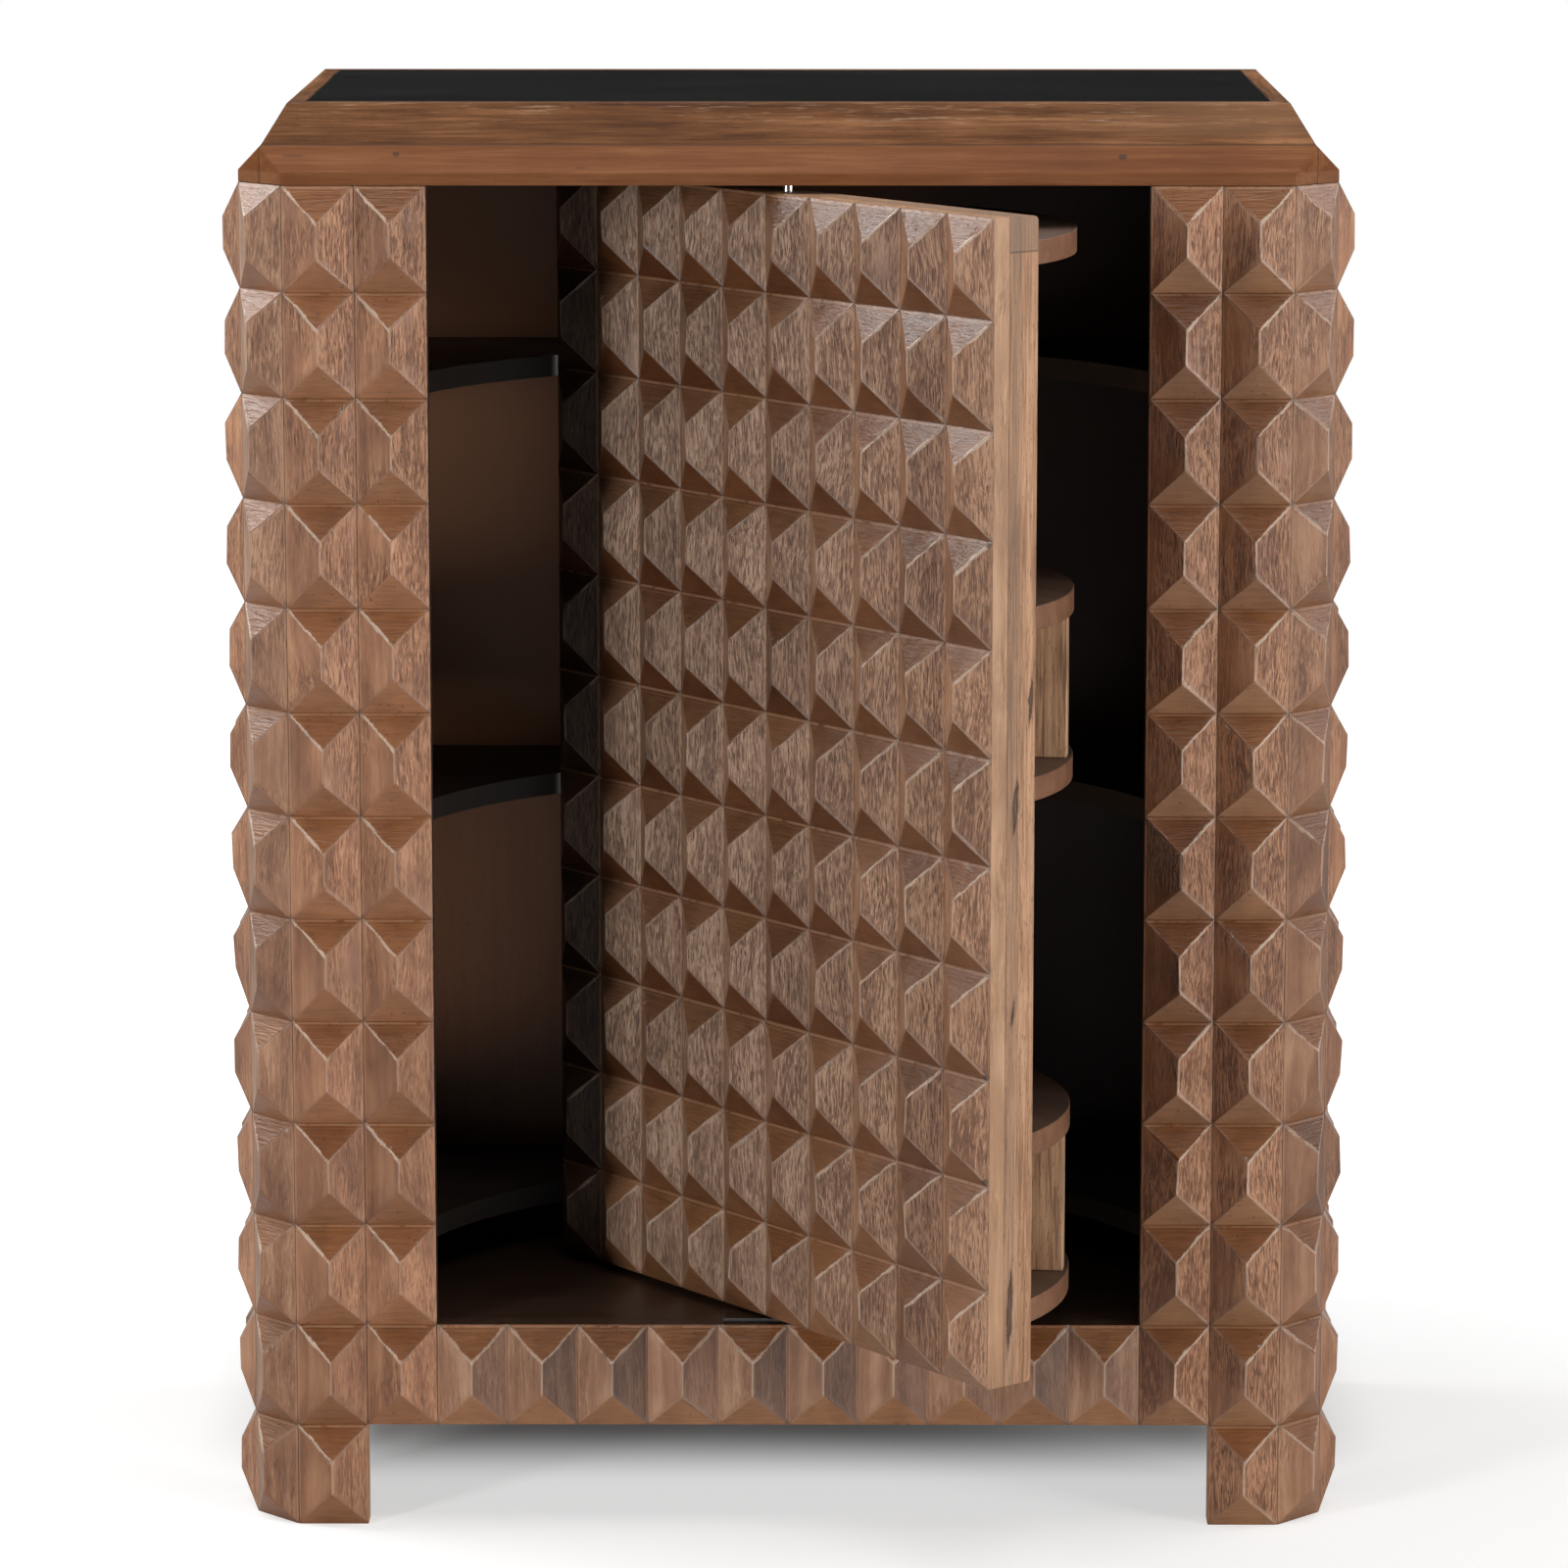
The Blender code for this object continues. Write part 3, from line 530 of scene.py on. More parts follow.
# %% Small knots at the door's near edge
KNOT_ROWS, KNOT_FROM_EDGE, KNOT_DARK = (2, 3, 8), 0.0045, (0.045, 0.028, 0.024, 1.0)
FACE_IN_FRONT = PIVOT.y - FRONT_Y
for row in KNOT_ROWS:
    hole = PIVOT + DOOR_ALONG * (DOOR_HALF - KNOT_FROM_EDGE) - DOOR_BACKWARDS * FACE_IN_FRONT
    hole.z = DOOR_FOOT + row * DOOR_ROW
    far = sums(tree, "MULTIPLY_ADD", patchy, 0.004, vectors(tree, "DISTANCE", raw_place, hole))
    colour = mix(tree, product(tree, fade(tree, far, 0.0062, 0.0040), 0.8), colour, KNOT_DARK)
tree.links.new(colour, shader.inputs["Base Color"])
print("knots in rows", KNOT_ROWS)

# %% Relief and gloss
relief = sums(tree, "SUBTRACT", strands, product(tree, pore_share, 0.45))
end_relief = product(tree, rings, sums(tree, "MULTIPLY_ADD", above, 0.50, 0.30))
end_relief = sums(tree, "MULTIPLY_ADD", specks, -0.3, end_relief)
relief = node(tree, "Mix", {0: on_end, 2: relief, 3: end_relief}).outputs[0]
relief = sums(tree, "MULTIPLY_ADD", cloud, 0.8, sums(tree, "SUBTRACT", relief, chips))
bump = node(tree, "Bump", {"Strength": 0.9, "Distance": 0.0018, "Height": relief})
tree.links.new(bump.outputs[0], shader.inputs["Normal"])
gloss = sums(tree, "MULTIPLY_ADD", on_end, -0.14, 0.40)
tree.links.new(sums(tree, "MULTIPLY_ADD", cloud, 0.12, gloss), shader.inputs["Roughness"])
shader.inputs["Specular IOR Level"].default_value = 0.5
print("carved wood:", len(tree.nodes), "nodes")

# %% [markdown]
# ## Cutting the blocks by hand
#
# On the real cabinet each block is sawn and planed by hand, so no two ridges are quite
# alike, and every edge is rubbed round. The frame's staves are exact and sharp. A bevel
# modifier on them would round the edges, but it can't move a ridge, and the finish
# needs to know each block. So each stave is copied, welded back to whole facets, and
# every block on it is found by its ridge: the one edge whose two ends touch no flat.
# Flat faces that look into the cabinet are stained dark, like the rest of the inside.

# %% Find the ridges of a stave
WELD = 0.00002
ONE_DEGREE = math.radians(1.0)


def whole_facets(name):
    """The node's mesh with its triangles joined to whole flat faces again."""
    bm = bmesh.new()
    bm.from_mesh(nodes[name].data)
    bmesh.ops.remove_doubles(bm, verts=bm.verts, dist=WELD)
    bmesh.ops.dissolve_limit(bm, angle_limit=ONE_DEGREE, verts=bm.verts, edges=bm.edges)
    return bm


def is_upright(edge):
    run = edge.verts[1].co - edge.verts[0].co
    return abs(run.z) > 0.99 * run.length


def ridges_of(bm):
    """The ridges of the blocks: upright edges whose ends each join three facets."""
    found = []
    for edge in bm.edges:
        ends = [len(v.link_faces) == 3 and len(v.link_edges) == 3 for v in edge.verts]
        tall = [any(len(f.verts) == 3 for f in v.link_faces) for v in edge.verts]
        if is_upright(edge) and all(ends) and all(tall):
            found.append(edge)
    return found


print("facets are welded within", WELD, "m")

# %% Look of a stave
# Painted grey sheen, painted shade, and the tones of left and of right facets, by a part
# of the stave's name. The tones paint the light and shade that fall on each side.
STAVE_SHIFTS = {
    "corner_left": (0.75, 0.0, -0.18, -0.20), "corner_right": (0.30, 0.0, -0.40, -0.85),
    "stile_left": (0.0, 0.0, 0.00, 0.24), "stile_right": (0.0, 0.0, -0.35, 0.22),
    "leg_front_left": (0.0, 0.0, -0.12, -0.08), "leg_front_right": (0.0, 0.0, -0.32, -0.26),
    "leg_side_left": (0.0, 0.0, 0.0, -0.10), "leg_side_right": (0.0, 0.0, -0.48, -0.20),
    "bottom_rail": (0.45, 0.0, 0.52, -0.62),
    # The far door stave's tones paint the shadow of the left stile on it.
    "door_stave_01": (0.75, 1.0, -1.0, -1.0), "door_stave": (0.75, 1.0, -0.35, -0.06),
}
NO_SHIFT = (0.0, 0.0, 0.0, 0.0)
HALF_LIT = ("bottom_rail", "front_leg_corner_right")
# The far door stave is painted dark as a shadow, and may go darker than the rest.
FAR_STAVE = "door_stave_01"
DARKEST, FAR_SHADOW_TONE = -0.36, -0.50
# Door staves get more painted grey sheen toward the far edge and less toward the near one.
DOOR_GREY, GREY_LOSS_NEAR, GREY_GAIN_FAR = 0.80, 1.7, 0.5
STAVE_TONES, NEAR_TONE = (0.30, 0.70), 0.5
chance = random.Random(7)


def look_of(name, body):
    """What saw and brush did to one stave, with its painted grey sheen, painted shade and the
    painted light of each side.
    """
    shifts = (s for word, s in STAVE_SHIFTS.items() if word in name)
    grey, door_shade, left, right = next(shifts, NO_SHIFT)
    look = SimpleNamespace(grey=grey, door_shade=door_shade, left=left, right=right, along=0.0)
    look.lit = 1.0 if name.endswith("_right") or body == "door" else 0.0
    if name in HALF_LIT:
        look.lit = 0.5
    look.darkest = FAR_SHADOW_TONE if name == FAR_STAVE else DARKEST
    look.tone = chance.uniform(*STAVE_TONES)
    if body == "door":
        look.along = (sum(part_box(name), Vector()) / 2 - PIVOT).dot(DOOR_ALONG)
        change = GREY_LOSS_NEAR if look.along > 0 else GREY_GAIN_FAR
        look.grey = DOOR_GREY - change * look.along
        look.tone += NEAR_TONE * max(0.0, look.along)
    return look


print("looks of", len(STAVE_SHIFTS), "kinds of stave")

# %% Measure the blocks
TONE_SPREAD = 0.34
# Painted shade on the door's end facets: little at the foot, more row by row, and less toward the
# near edge.
FOOT_SHADE, ROW_SHADE, NEAR_SHADE_LOSS = 0.2, 0.35, 0.9


def blocks_of(bm, look):
    """Every block's middle, run, half size, tone and painted shade, and the edges at its ridge."""
    blocks, creases = [], {}
    for ridge in ridges_of(bm):
        foot, head = sorted(ridge.verts, key=lambda v: v.co.z)
        facets = dict.fromkeys([*foot.link_faces, *head.link_faces])
        rim = [v.co for f in facets for v in f.verts if v not in (foot, head)]
        low = min(p.z for p in rim)
        high = max(p.z for p in rim)
        level = [p for p in rim if abs(p.z - low) < 0.001]
        run = max((b - a for a in level for b in level), key=lambda d: d.length)
        middle = sum(level, Vector()) / len(level)
        middle.z = (low + high) / 2
        outwards = foot.co - middle
        if Vector((-outwards.y, outwards.x, 0)).dot(run) < 0:
            run = -run
        half = (run.length / 2, (high - low) / 2)
        tone = look.tone + chance.uniform(-TONE_SPREAD, TONE_SPREAD)
        row = (middle.z - DOOR_FOOT) / DOOR_ROW
        door_shade = look.door_shade * min(1.0, FOOT_SHADE + ROW_SHADE * row)
        door_shade *= 1.0 - NEAR_SHADE_LOSS * max(0.0, look.along)
        blocks.append((middle, run.normalized(), half, min(1.0, max(0.0, tone)), door_shade))
        creases.update(dict.fromkeys(e for v in (foot, head) for e in v.link_edges))
    return blocks, creases


print("block tones spread by", TONE_SPREAD)

# %% Cut and round the blocks
RIDGE_WANDER = 0.0014
WANDERS = (RIDGE_WANDER / 2, RIDGE_WANDER / 2, RIDGE_WANDER)  # along x, y and z
EDGE_ROUND = 0.0011
SHARP = math.radians(32.0)


def cut(bm, creases):
    """Moves the ridges' ends a little, as a hand saw does, and rubs their edges round."""
    for edge in creases:
        for v in edge.verts:
            if len(v.link_faces) == 3 and all(e in creases for e in v.link_edges):
                v.co += Vector([chance.uniform(-far, far) for far in WANDERS])
    bmesh.ops.bevel(
        bm, geom=list(creases), offset=EDGE_ROUND, segments=2, profile=0.6,
        affect="EDGES", clamp_overlap=True,
    )
    for edge in bm.edges:
        edge.smooth = edge.is_manifold and edge.calc_face_angle() < SHARP


print("ridges wander by", RIDGE_WANDER, "m, edges are rubbed by", EDGE_ROUND, "m")

# %% Mark the facets
CABINET_MIDDLE = (cad_box[0] + cad_box[1]) / 2
FLAT_PLACE, FLAT_HALF, FLAT_TONE = (-0.5, 0.0), (1.0, 1.0), 0.75
LEAST_SLOPE, MOST_SLOPE = 0.02, 0.995
SIDE_FROM, CORNER_GREY, RAIL_UNDER_LIGHT = 0.2, 0.4, 0.4


def looks_inside(normal, centre, name):
    """True for a flat face that looks into the cabinet."""
    inwards = CABINET_MIDDLE - centre
    from_side = abs(normal.z) < 0.1 and normal.x * inwards.x > 0.3 * abs(inwards.x)
    from_front = normal.y > 0.9 and inwards.y > 0
    from_rail = name == "bottom_rail" and normal.z > 0.9
    return from_side or from_front or from_rail


def mark(bm, name, body, look, blocks):
    """Writes on every facet what the finish needs to know of it and of its block."""
    sizes = bm.faces.layers.float_vector.new("block_size")
    map_layer = bm.loops.layers.uv.new("from_middle")
    shift_layer = bm.faces.layers.float_vector.new("shift")
    for face in bm.faces:
        face.smooth = True
        normal, centre = face.normal, face.calc_center_median()
        middle, run, half, tone, door_shade = min(blocks, key=lambda b: (b[0] - centre).length)
        offset = centre - middle
        on_block = abs(offset.dot(run)) < half[0] and abs(offset.z) < half[1]
        slope = abs(normal.cross(run).z)
        facing = normal.dot(run)
        flat = not LEAST_SLOPE <= slope <= MOST_SLOPE or not on_block
        if flat:
            half, tone = FLAT_HALF, FLAT_TONE
            dark = body == "cabinet" and looks_inside(normal, centre, name)
            shifts = (0.0, float(dark), 0.0)
        else:
            on_left, on_right_side = facing < -SIDE_FROM, facing > SIDE_FROM
            # The tones of left and right facets paint the light and shade that fall on each side,
            # and the rail's underside is painted lighter.
            both = (look.left + look.right) / 2
            tone += look.left if on_left else look.right if on_right_side else both
            if name == "bottom_rail" and normal.z < -0.3:
                tone += RAIL_UNDER_LIGHT
            # Corner staves get only part of the painted grey sheen on their right facets.
            share = CORNER_GREY if "corner" in name and on_right_side else 1.0
            shifts = (share * look.grey, door_shade, look.lit)
        face[sizes] = Vector((*half, max(look.darkest, tone)))
        face[shift_layer] = Vector(shifts)
        for loop in face.loops:
            offset = loop.vert.co - middle
            loop[map_layer].uv = FLAT_PLACE if flat else (offset.dot(run), offset.z)


print("the cabinet's middle is at", [round(v, 3) for v in CABINET_MIDDLE])


# %% Carve every stave
def carve(name, body):
    """A copy of a stave with hand-cut blocks, which stands for the stave."""
    bm = whole_facets(name)
    look = look_of(name, body)
    blocks, creases = blocks_of(bm, look)
    cut(bm, creases)
    mark(bm, name, body, look, blocks)
    mesh = bpy.data.meshes.new("carved_" + name)
    bm.to_mesh(mesh)
    bm.free()
    mesh.materials.append(carved_wood)
    piece = show("carved_" + name, mesh)
    piece.modifiers.new("even_light", "WEIGHTED_NORMAL").keep_sharp = True
    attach(piece, body)
    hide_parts(name)
    return len(blocks)


slots = {s["node"]: s["material_slot"] for s in frame["record"]["subparts"]}
count = 0
for name in nodes:
    if slots[name] == "carved_wood":
        count += carve(name, nodes[name]["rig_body"])
print("blocks cut:", count)

# %% [markdown]
# ## Planed boards
#
# Crown, slab, shelves and dividers are planed boards. Their fibre runs along the board,
# so one recipe serves them all: long soft bands, fine fibres, short pores, and a little
# unevenness in the gloss. Each board gets its own three browns, its own direction and
# its own gloss. Marks such as a knot or a glue line are painted over that.

# %% Planed board finish
AXES = "XYZ"


def patch(run, across, along):
    """The size of a patch of grain that is longer along one axis."""
    return [along if axis == run else across for axis in AXES]


def plank(name, run, browns, gloss, turn=0.0, depth=0.0004, bite=1.0):
    """A planed board. Its fibre runs along one axis, after a turn about the upright."""
    material, tree, shader = new_finish(name)
    place = object_place(tree)
    if turn:
        inputs = {"Vector": place, "Angle": turn}
        place = node(tree, "VectorRotate", inputs, rotation_type="Z_AXIS").outputs[0]
    bands = grain(tree, place, patch(run, 0.016, 0.40), 3.0, 0.55)
    fibres = grain(tree, place, patch(run, 0.0022, 0.060), 4.0, 0.6)
    pores = fade(tree, grain(tree, place, patch(run, 0.0009, 0.010), 2.0, 0.5), 0.60, 0.70)
    cloud = grain(tree, place, (0.09, 0.09, 0.09), 2.0, 0.5)
    streaks = sums(tree, "MULTIPLY_ADD", fibres, 0.28 * bite, 0.14 * (1 - bite))
    figure = sums(tree, "MULTIPLY_ADD", bands, 0.50, streaks)
    figure = sums(tree, "MULTIPLY_ADD", cloud, 0.22, figure)
    colour = ramp(tree, figure, *zip((0.36, 0.50, 0.64), browns))
    pore_dark = (*[c * 0.4 for c in browns[0]], 1.0)
    colour = mix(tree, product(tree, pores, min(0.35 * bite, 0.7)), colour, pore_dark)
    tree.links.new(colour, shader.inputs["Base Color"])
    height = sums(tree, "SUBTRACT", fibres, product(tree, pores, 0.5))
    bump = node(tree, "Bump", {"Strength": 0.35, "Distance": depth, "Height": height})
    tree.links.new(bump.outputs[0], shader.inputs["Normal"])
    uneven = sums(tree, "MULTIPLY_ADD", cloud, 0.16, gloss - 0.08)
    tree.links.new(sums(tree, "MULTIPLY_ADD", fibres, 0.08, uneven), shader.inputs["Roughness"])
    return material, tree, shader, place


print("planks run along one of", AXES)

# %% Marks and edges
BEVEL_FROM = 20.0  # degrees


def paint_over(tree, shader, mask, share, colour):
    """Mixes another colour over what the finish already shows, where the mask is 1."""
    under = shader.inputs["Base Color"].links[0].from_socket
    over = colour if isinstance(colour, bpy.types.NodeSocket) else (*colour, 1.0)
    tree.links.new(mix(tree, product(tree, mask, share), under, over), shader.inputs["Base Color"])


def spot(tree, place, centre, radii):
    """1 inside an egg-shaped spot with a slightly ragged rim, 0 outside."""
    off = vectors(tree, "DIVIDE", vectors(tree, "SUBTRACT", place, centre), radii)
    ragged = grain(tree, place, (0.004, 0.004, 0.010))
    far = sums(tree, "MULTIPLY_ADD", ragged, 0.5, vectors(tree, "LENGTH", off))
    return fade(tree, far, 1.35, 0.95)


def facing_of(tree):
    """The x, y and z of the way that the surface faces."""
    return split(tree, node(tree, "NewGeometry").outputs["Normal"])


def dress(material, *names):
    """Gives the named nodes of the frame a finish."""
    for name in names:
        mesh = nodes[name].data
        mesh.materials.clear()
        mesh.materials.append(material)


def soften(width, *names):
    """Rubs the sharp edges of the named nodes round, with modifiers only."""
    for name in names:
        stack = nodes[name].modifiers
        stack.new("weld", "WELD").merge_threshold = WELD
        whole = stack.new("whole_faces", "DECIMATE")
        whole.decimate_type = "DISSOLVE"
        whole.angle_limit = ONE_DEGREE
        edge = stack.new("rubbed_edges", "BEVEL")
        edge.width = width
        edge.segments = 2
        edge.limit_method = "ANGLE"
        edge.angle_limit = math.radians(BEVEL_FROM)


print("edges over", BEVEL_FROM, "degrees are rubbed round")

# %% [markdown]
# ## Crown
#
# The crown is two boards deep: a fine glue line runs along the crease, and the lower
# board is the redder one. Its front runs left to right and its sides run back, so the
# grain turns the corner at the mitre, as it does on the cabinet. The front has a few
# dark marks, and its right end is paler.

# %% Crown boards
CROWN_RUNS = {"crown_front": "X", "crown_back": "X", "crown_left": "Y", "crown_right": "Y"}
CROWN_BROWNS = ((0.056, 0.020, 0.007), (0.163, 0.065, 0.023), (0.335, 0.154, 0.068))
LOWER_RED, FLECK_PALE, GLUE_DARK = (0.184, 0.052, 0.007), (0.42, 0.28, 0.19), (0.05, 0.024, 0.013)
LIT_BAND_DARK, LIT_BAND_LIGHT = (0.150, 0.072, 0.040), (0.33, 0.170, 0.095)
END_PALE, MARK_DARK = (0.30, 0.165, 0.090), (0.05, 0.027, 0.017)
FRONT_MARKS = (  # x and z, half width and half height, share
    ((-0.352, 1.2715), (0.0034, 0.0022), 0.80),
    ((-0.445, 1.2700), (0.0110, 0.0013), 0.45),
    ((-0.186, 1.2600), (0.0060, 0.0007), 0.70),
    ((0.300, 1.2690), (0.0042, 0.0026), 0.75),
)
crown_levels = sorted({round(v.co.z, 4) for v in nodes["crown_back"].data.vertices})
BAND_Z, CREASE_Z = crown_levels[1], crown_levels[2]
MARK_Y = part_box("crown_front")[0].y + 0.012


def crown_wood(label, run):
    """One board's finish: a red lower half, pale flecks above, and a glue line between."""
    material, tree, shader, place = plank(label + "_wood", run, CROWN_BROWNS, 0.42, bite=1.1)
    height = split(tree, place)[2]
    paint_over(tree, shader, fade(tree, height, CREASE_Z, CREASE_Z - 0.0005), 0.55, LOWER_RED)
    flecks = fade(tree, grain(tree, place, patch(run, 0.0012, 0.030), 2.0, 0.5), 0.58, 0.68)
    where = fade(tree, grain(tree, place, patch(run, 0.02, 0.12)), 0.43, 0.55)
    where = product(tree, where, fade(tree, height, CREASE_Z + 0.010, CREASE_Z + 0.022))
    paint_over(tree, shader, product(tree, flecks, where), 0.6, FLECK_PALE)
    # Painted light: the upright band at the foot of the board gets a paler brown in patches.
    blotches = grain(tree, place, patch(run, 0.02, 0.26))
    band_painted_light = ramp(tree, blotches, (0.40, LIT_BAND_DARK), (0.56, LIT_BAND_LIGHT))
    paint_over(tree, shader, fade(tree, height, BAND_Z + 0.0006, BAND_Z - 0.0006), 0.25, band_painted_light)
    off_line = sums(tree, "ABSOLUTE", sums(tree, "SUBTRACT", height, CREASE_Z))
    wander = product(tree, grain(tree, place, (0.05, 0.05, 0.01)), 0.0014)
    line = fade(tree, sums(tree, "ADD", off_line, wander), 0.0022, 0.0011)
    paint_over(tree, shader, line, 0.6, GLUE_DARK)
    shader.inputs["Specular IOR Level"].default_value = 0.15
    return material, tree, shader, place


for label, run in CROWN_RUNS.items():
    material, tree, shader, place = crown_wood(label, run)
    if label == "crown_front":
        sideways, _, height = split(tree, place)
        pale_end = fade(tree, height, CREASE_Z + 0.002, CREASE_Z + 0.012)
        pale_end = product(tree, fade(tree, sideways, 0.20, 0.42), pale_end)
        paint_over(tree, shader, pale_end, 0.30, END_PALE)
        for (x, z), (wide, tall), share in FRONT_MARKS:
            mark_spot = spot(tree, place, (x, MARK_Y, z), (wide, 0.03, tall))
            paint_over(tree, shader, mark_spot, share, MARK_DARK)
    dress(material, label)
soften(0.0009, *CROWN_RUNS)
print("crown: crease at", round(CREASE_Z, 4))

# %% [markdown]
# ## Black glass
#
# A pane of black glass is let into the crown. In the photograph it is seen almost edge
# on, where glass mirrors whatever stands behind it, and yet it is nearly black. So a
# dark card hangs behind it here, seen by mirror rays alone, and casts no shadow.

# %% Glass and card
GLASS_DARK, GLASS_LIGHT = (0.0155, 0.0155, 0.0156), (0.0270, 0.0270, 0.0260)
FELT_DARK, FELT_LIGHT = (0.010, 0.010, 0.010), (0.018, 0.018, 0.018)
CARD_HALF, CARD_Y, CARD_LOW, CARD_HIGH = 4.0, 3.0, 1.36, 3.2
black_glass, tree, shader = new_finish("black_glass")
smear = grain(tree, object_place(tree), (0.25, 0.06, 0.06), 3.0, 0.55)
tint = ramp(tree, smear, (0.35, GLASS_DARK), (0.7, GLASS_LIGHT))
tree.links.new(tint, shader.inputs["Base Color"])
tree.links.new(sums(tree, "MULTIPLY_ADD", smear, 0.06, 0.05), shader.inputs["Roughness"])
shader.inputs["Specular IOR Level"].default_value = 0.10
dress(black_glass, "top_glass")
soften(0.0006, "top_glass")

mesh = bpy.data.meshes.new("dark_card")
corners = [(-CARD_HALF, CARD_Y, CARD_LOW), (CARD_HALF, CARD_Y, CARD_LOW)]
corners += [(CARD_HALF, CARD_Y, CARD_HIGH), (-CARD_HALF, CARD_Y, CARD_HIGH)]
mesh.from_pydata(corners, [], [(0, 1, 2, 3)])
card = show("dark_card", mesh)
card_felt, tree, shader = new_finish("card_felt")
nap = grain(tree, object_place(tree), (0.01, 0.01, 0.01))
felt = ramp(tree, nap, (0.3, FELT_DARK), (0.7, FELT_LIGHT))
tree.links.new(felt, shader.inputs["Base Color"])
shader.inputs["Roughness"].default_value = 1.0
shader.inputs["Specular IOR Level"].default_value = 0.0
mesh.materials.append(card_felt)
card.visible_camera = card.visible_diffuse = False
card.visible_shadow = card.visible_transmission = False
print("glass pane dressed, card hung")

# %% [markdown]
# ## Inside
#
# The inside is veneered and stained dark. It gets little light, and what is seen is a
# soft satin gleam, so its grain is quiet and its gloss is even. On its inner face alone,
# the back panel has painted light in the middle and painted shade at the top and on the
# right. The shelves are dark grey with a paler rim, which is a painted sheen. The plain
# boards of the rear legs stand outside, and take the crown's browns.

# %% Back panel
BACK_BROWNS = ((0.240, 0.097, 0.045), (0.262, 0.109, 0.052), (0.285, 0.122, 0.060))
# Painted light comes in first, painted shade above it.
LIGHT_AND_SHADE_RISES = (  # the heights between which a brown comes in
    (0.45, 0.80, (0.345, 0.155, 0.078)),
    (0.95, 1.15, (0.160, 0.072, 0.038)),
)
RIGHT_SHADE, OUTER_BROWN = (0.012, 0.006, 0.004), (0.120, 0.056, 0.028)
inner_upright, tree, shader, place = plank("inner_upright", "Z", BACK_BROWNS, 0.40, depth=0.0001)
sideways, _, height = split(tree, place)
inner_face = fade(tree, facing_of(tree)[1], -0.2, -0.6)
for start, end, brown in LIGHT_AND_SHADE_RISES:
    painted_rise = product(tree, fade(tree, height, start, end), inner_face)
    paint_over(tree, shader, painted_rise, 0.8, brown)
# Painted shade on the right of the inner face.
right_shade_mask = product(tree, fade(tree, sideways, 0.02, 0.20), inner_face)
paint_over(tree, shader, right_shade_mask, 0.94, RIGHT_SHADE)
paint_over(tree, shader, sums(tree, "SUBTRACT", 1.0, inner_face), 0.7, OUTER_BROWN)
dress(inner_upright, "back_panel")
print("back panel dressed")

# %% Floor, ceiling, shelves and rear boards
INNER_BROWNS = ((0.032, 0.016, 0.009), (0.045, 0.023, 0.013), (0.060, 0.032, 0.018))
SHELF_GREYS = ((0.024, 0.021, 0.019), (0.034, 0.030, 0.028), (0.046, 0.041, 0.038))
SHELF_RIM_SHEEN = (0.115, 0.105, 0.098)
REAR_BOARDS = ("rear_leg_board_left", "rear_leg_board_right")
inner_level = plank("inner_level", "X", INNER_BROWNS, 0.36, depth=0.0001)[0]
dress(inner_level, "floor_panel", "top_deck", "glass_bed")
shelf_lacquer, tree, shader, _ = plank("shelf_lacquer", "X", SHELF_GREYS, 0.40, depth=0.0001)
# Painted sheen: the shelves' rims are paler grey.
rim = fade(tree, sums(tree, "ABSOLUTE", facing_of(tree)[2]), 0.55, 0.25)
paint_over(tree, shader, rim, 0.85, SHELF_RIM_SHEEN)
dress(shelf_lacquer, "fixed_shelf_lower", "fixed_shelf_middle", "fixed_shelf_upper")
outer_back = plank("outer_back", "Z", CROWN_BROWNS, 0.5)[0]
dress(outer_back, *REAR_BOARDS)
soften(0.0008, *REAR_BOARDS)
print("inside and rear boards dressed")

# %% [markdown]
# ## Door slab
#
# The staves of the door are glued to a slab. Its near end is the palest wood on the
# cabinet, cut lengthwise, with long grey-brown knots that show as slits.

# %% Door slab
SLAB_BROWNS = ((0.205, 0.102, 0.051), (0.395, 0.207, 0.110), (0.580, 0.335, 0.198))
STRIP_GREY, CAP_GREY = (0.255, 0.185, 0.135), (0.225, 0.150, 0.105)
JOINT_BROWN = (0.08, 0.045, 0.028)
CAP_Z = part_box("board_top")[1].z
slab_wood, tree, shader, place = plank("slab_wood", "Z", SLAB_BROWNS, 0.50, bite=2.2)
from_pivot = vectors(tree, "SUBTRACT", place, PIVOT)
height = split(tree, from_pivot)[2]
backwards = vectors(tree, "DOT_PRODUCT", from_pivot, DOOR_BACKWARDS)
along = vectors(tree, "DOT_PRODUCT", from_pivot, DOOR_ALONG)
wobble = grain(tree, place, (0.006, 0.006, 0.014))
wobble = sums(tree, "MULTIPLY_ADD", wobble, 0.006, -0.003)
off_strip = sums(tree, "ADD", sums(tree, "SUBTRACT", backwards, -0.001), wobble)
grey_strip = fade(tree, sums(tree, "ABSOLUTE", off_strip), 0.010, 0.004)
paint_over(tree, shader, grey_strip, 0.30, STRIP_GREY)
paint_over(tree, shader, fade(tree, height, CAP_Z - 0.0004, CAP_Z + 0.0004), 0.55, CAP_GREY)
off_cap = sums(tree, "ABSOLUTE", sums(tree, "SUBTRACT", height, CAP_Z))
paint_over(tree, shader, fade(tree, off_cap, 0.0011, 0.0005), 0.6, JOINT_BROWN)
shader.inputs["Specular IOR Level"].default_value = 0.25
dress(slab_wood, "door_slab")
soften(0.0007, "door_slab")
print("slab dressed, cap above", round(CAP_Z, 4))

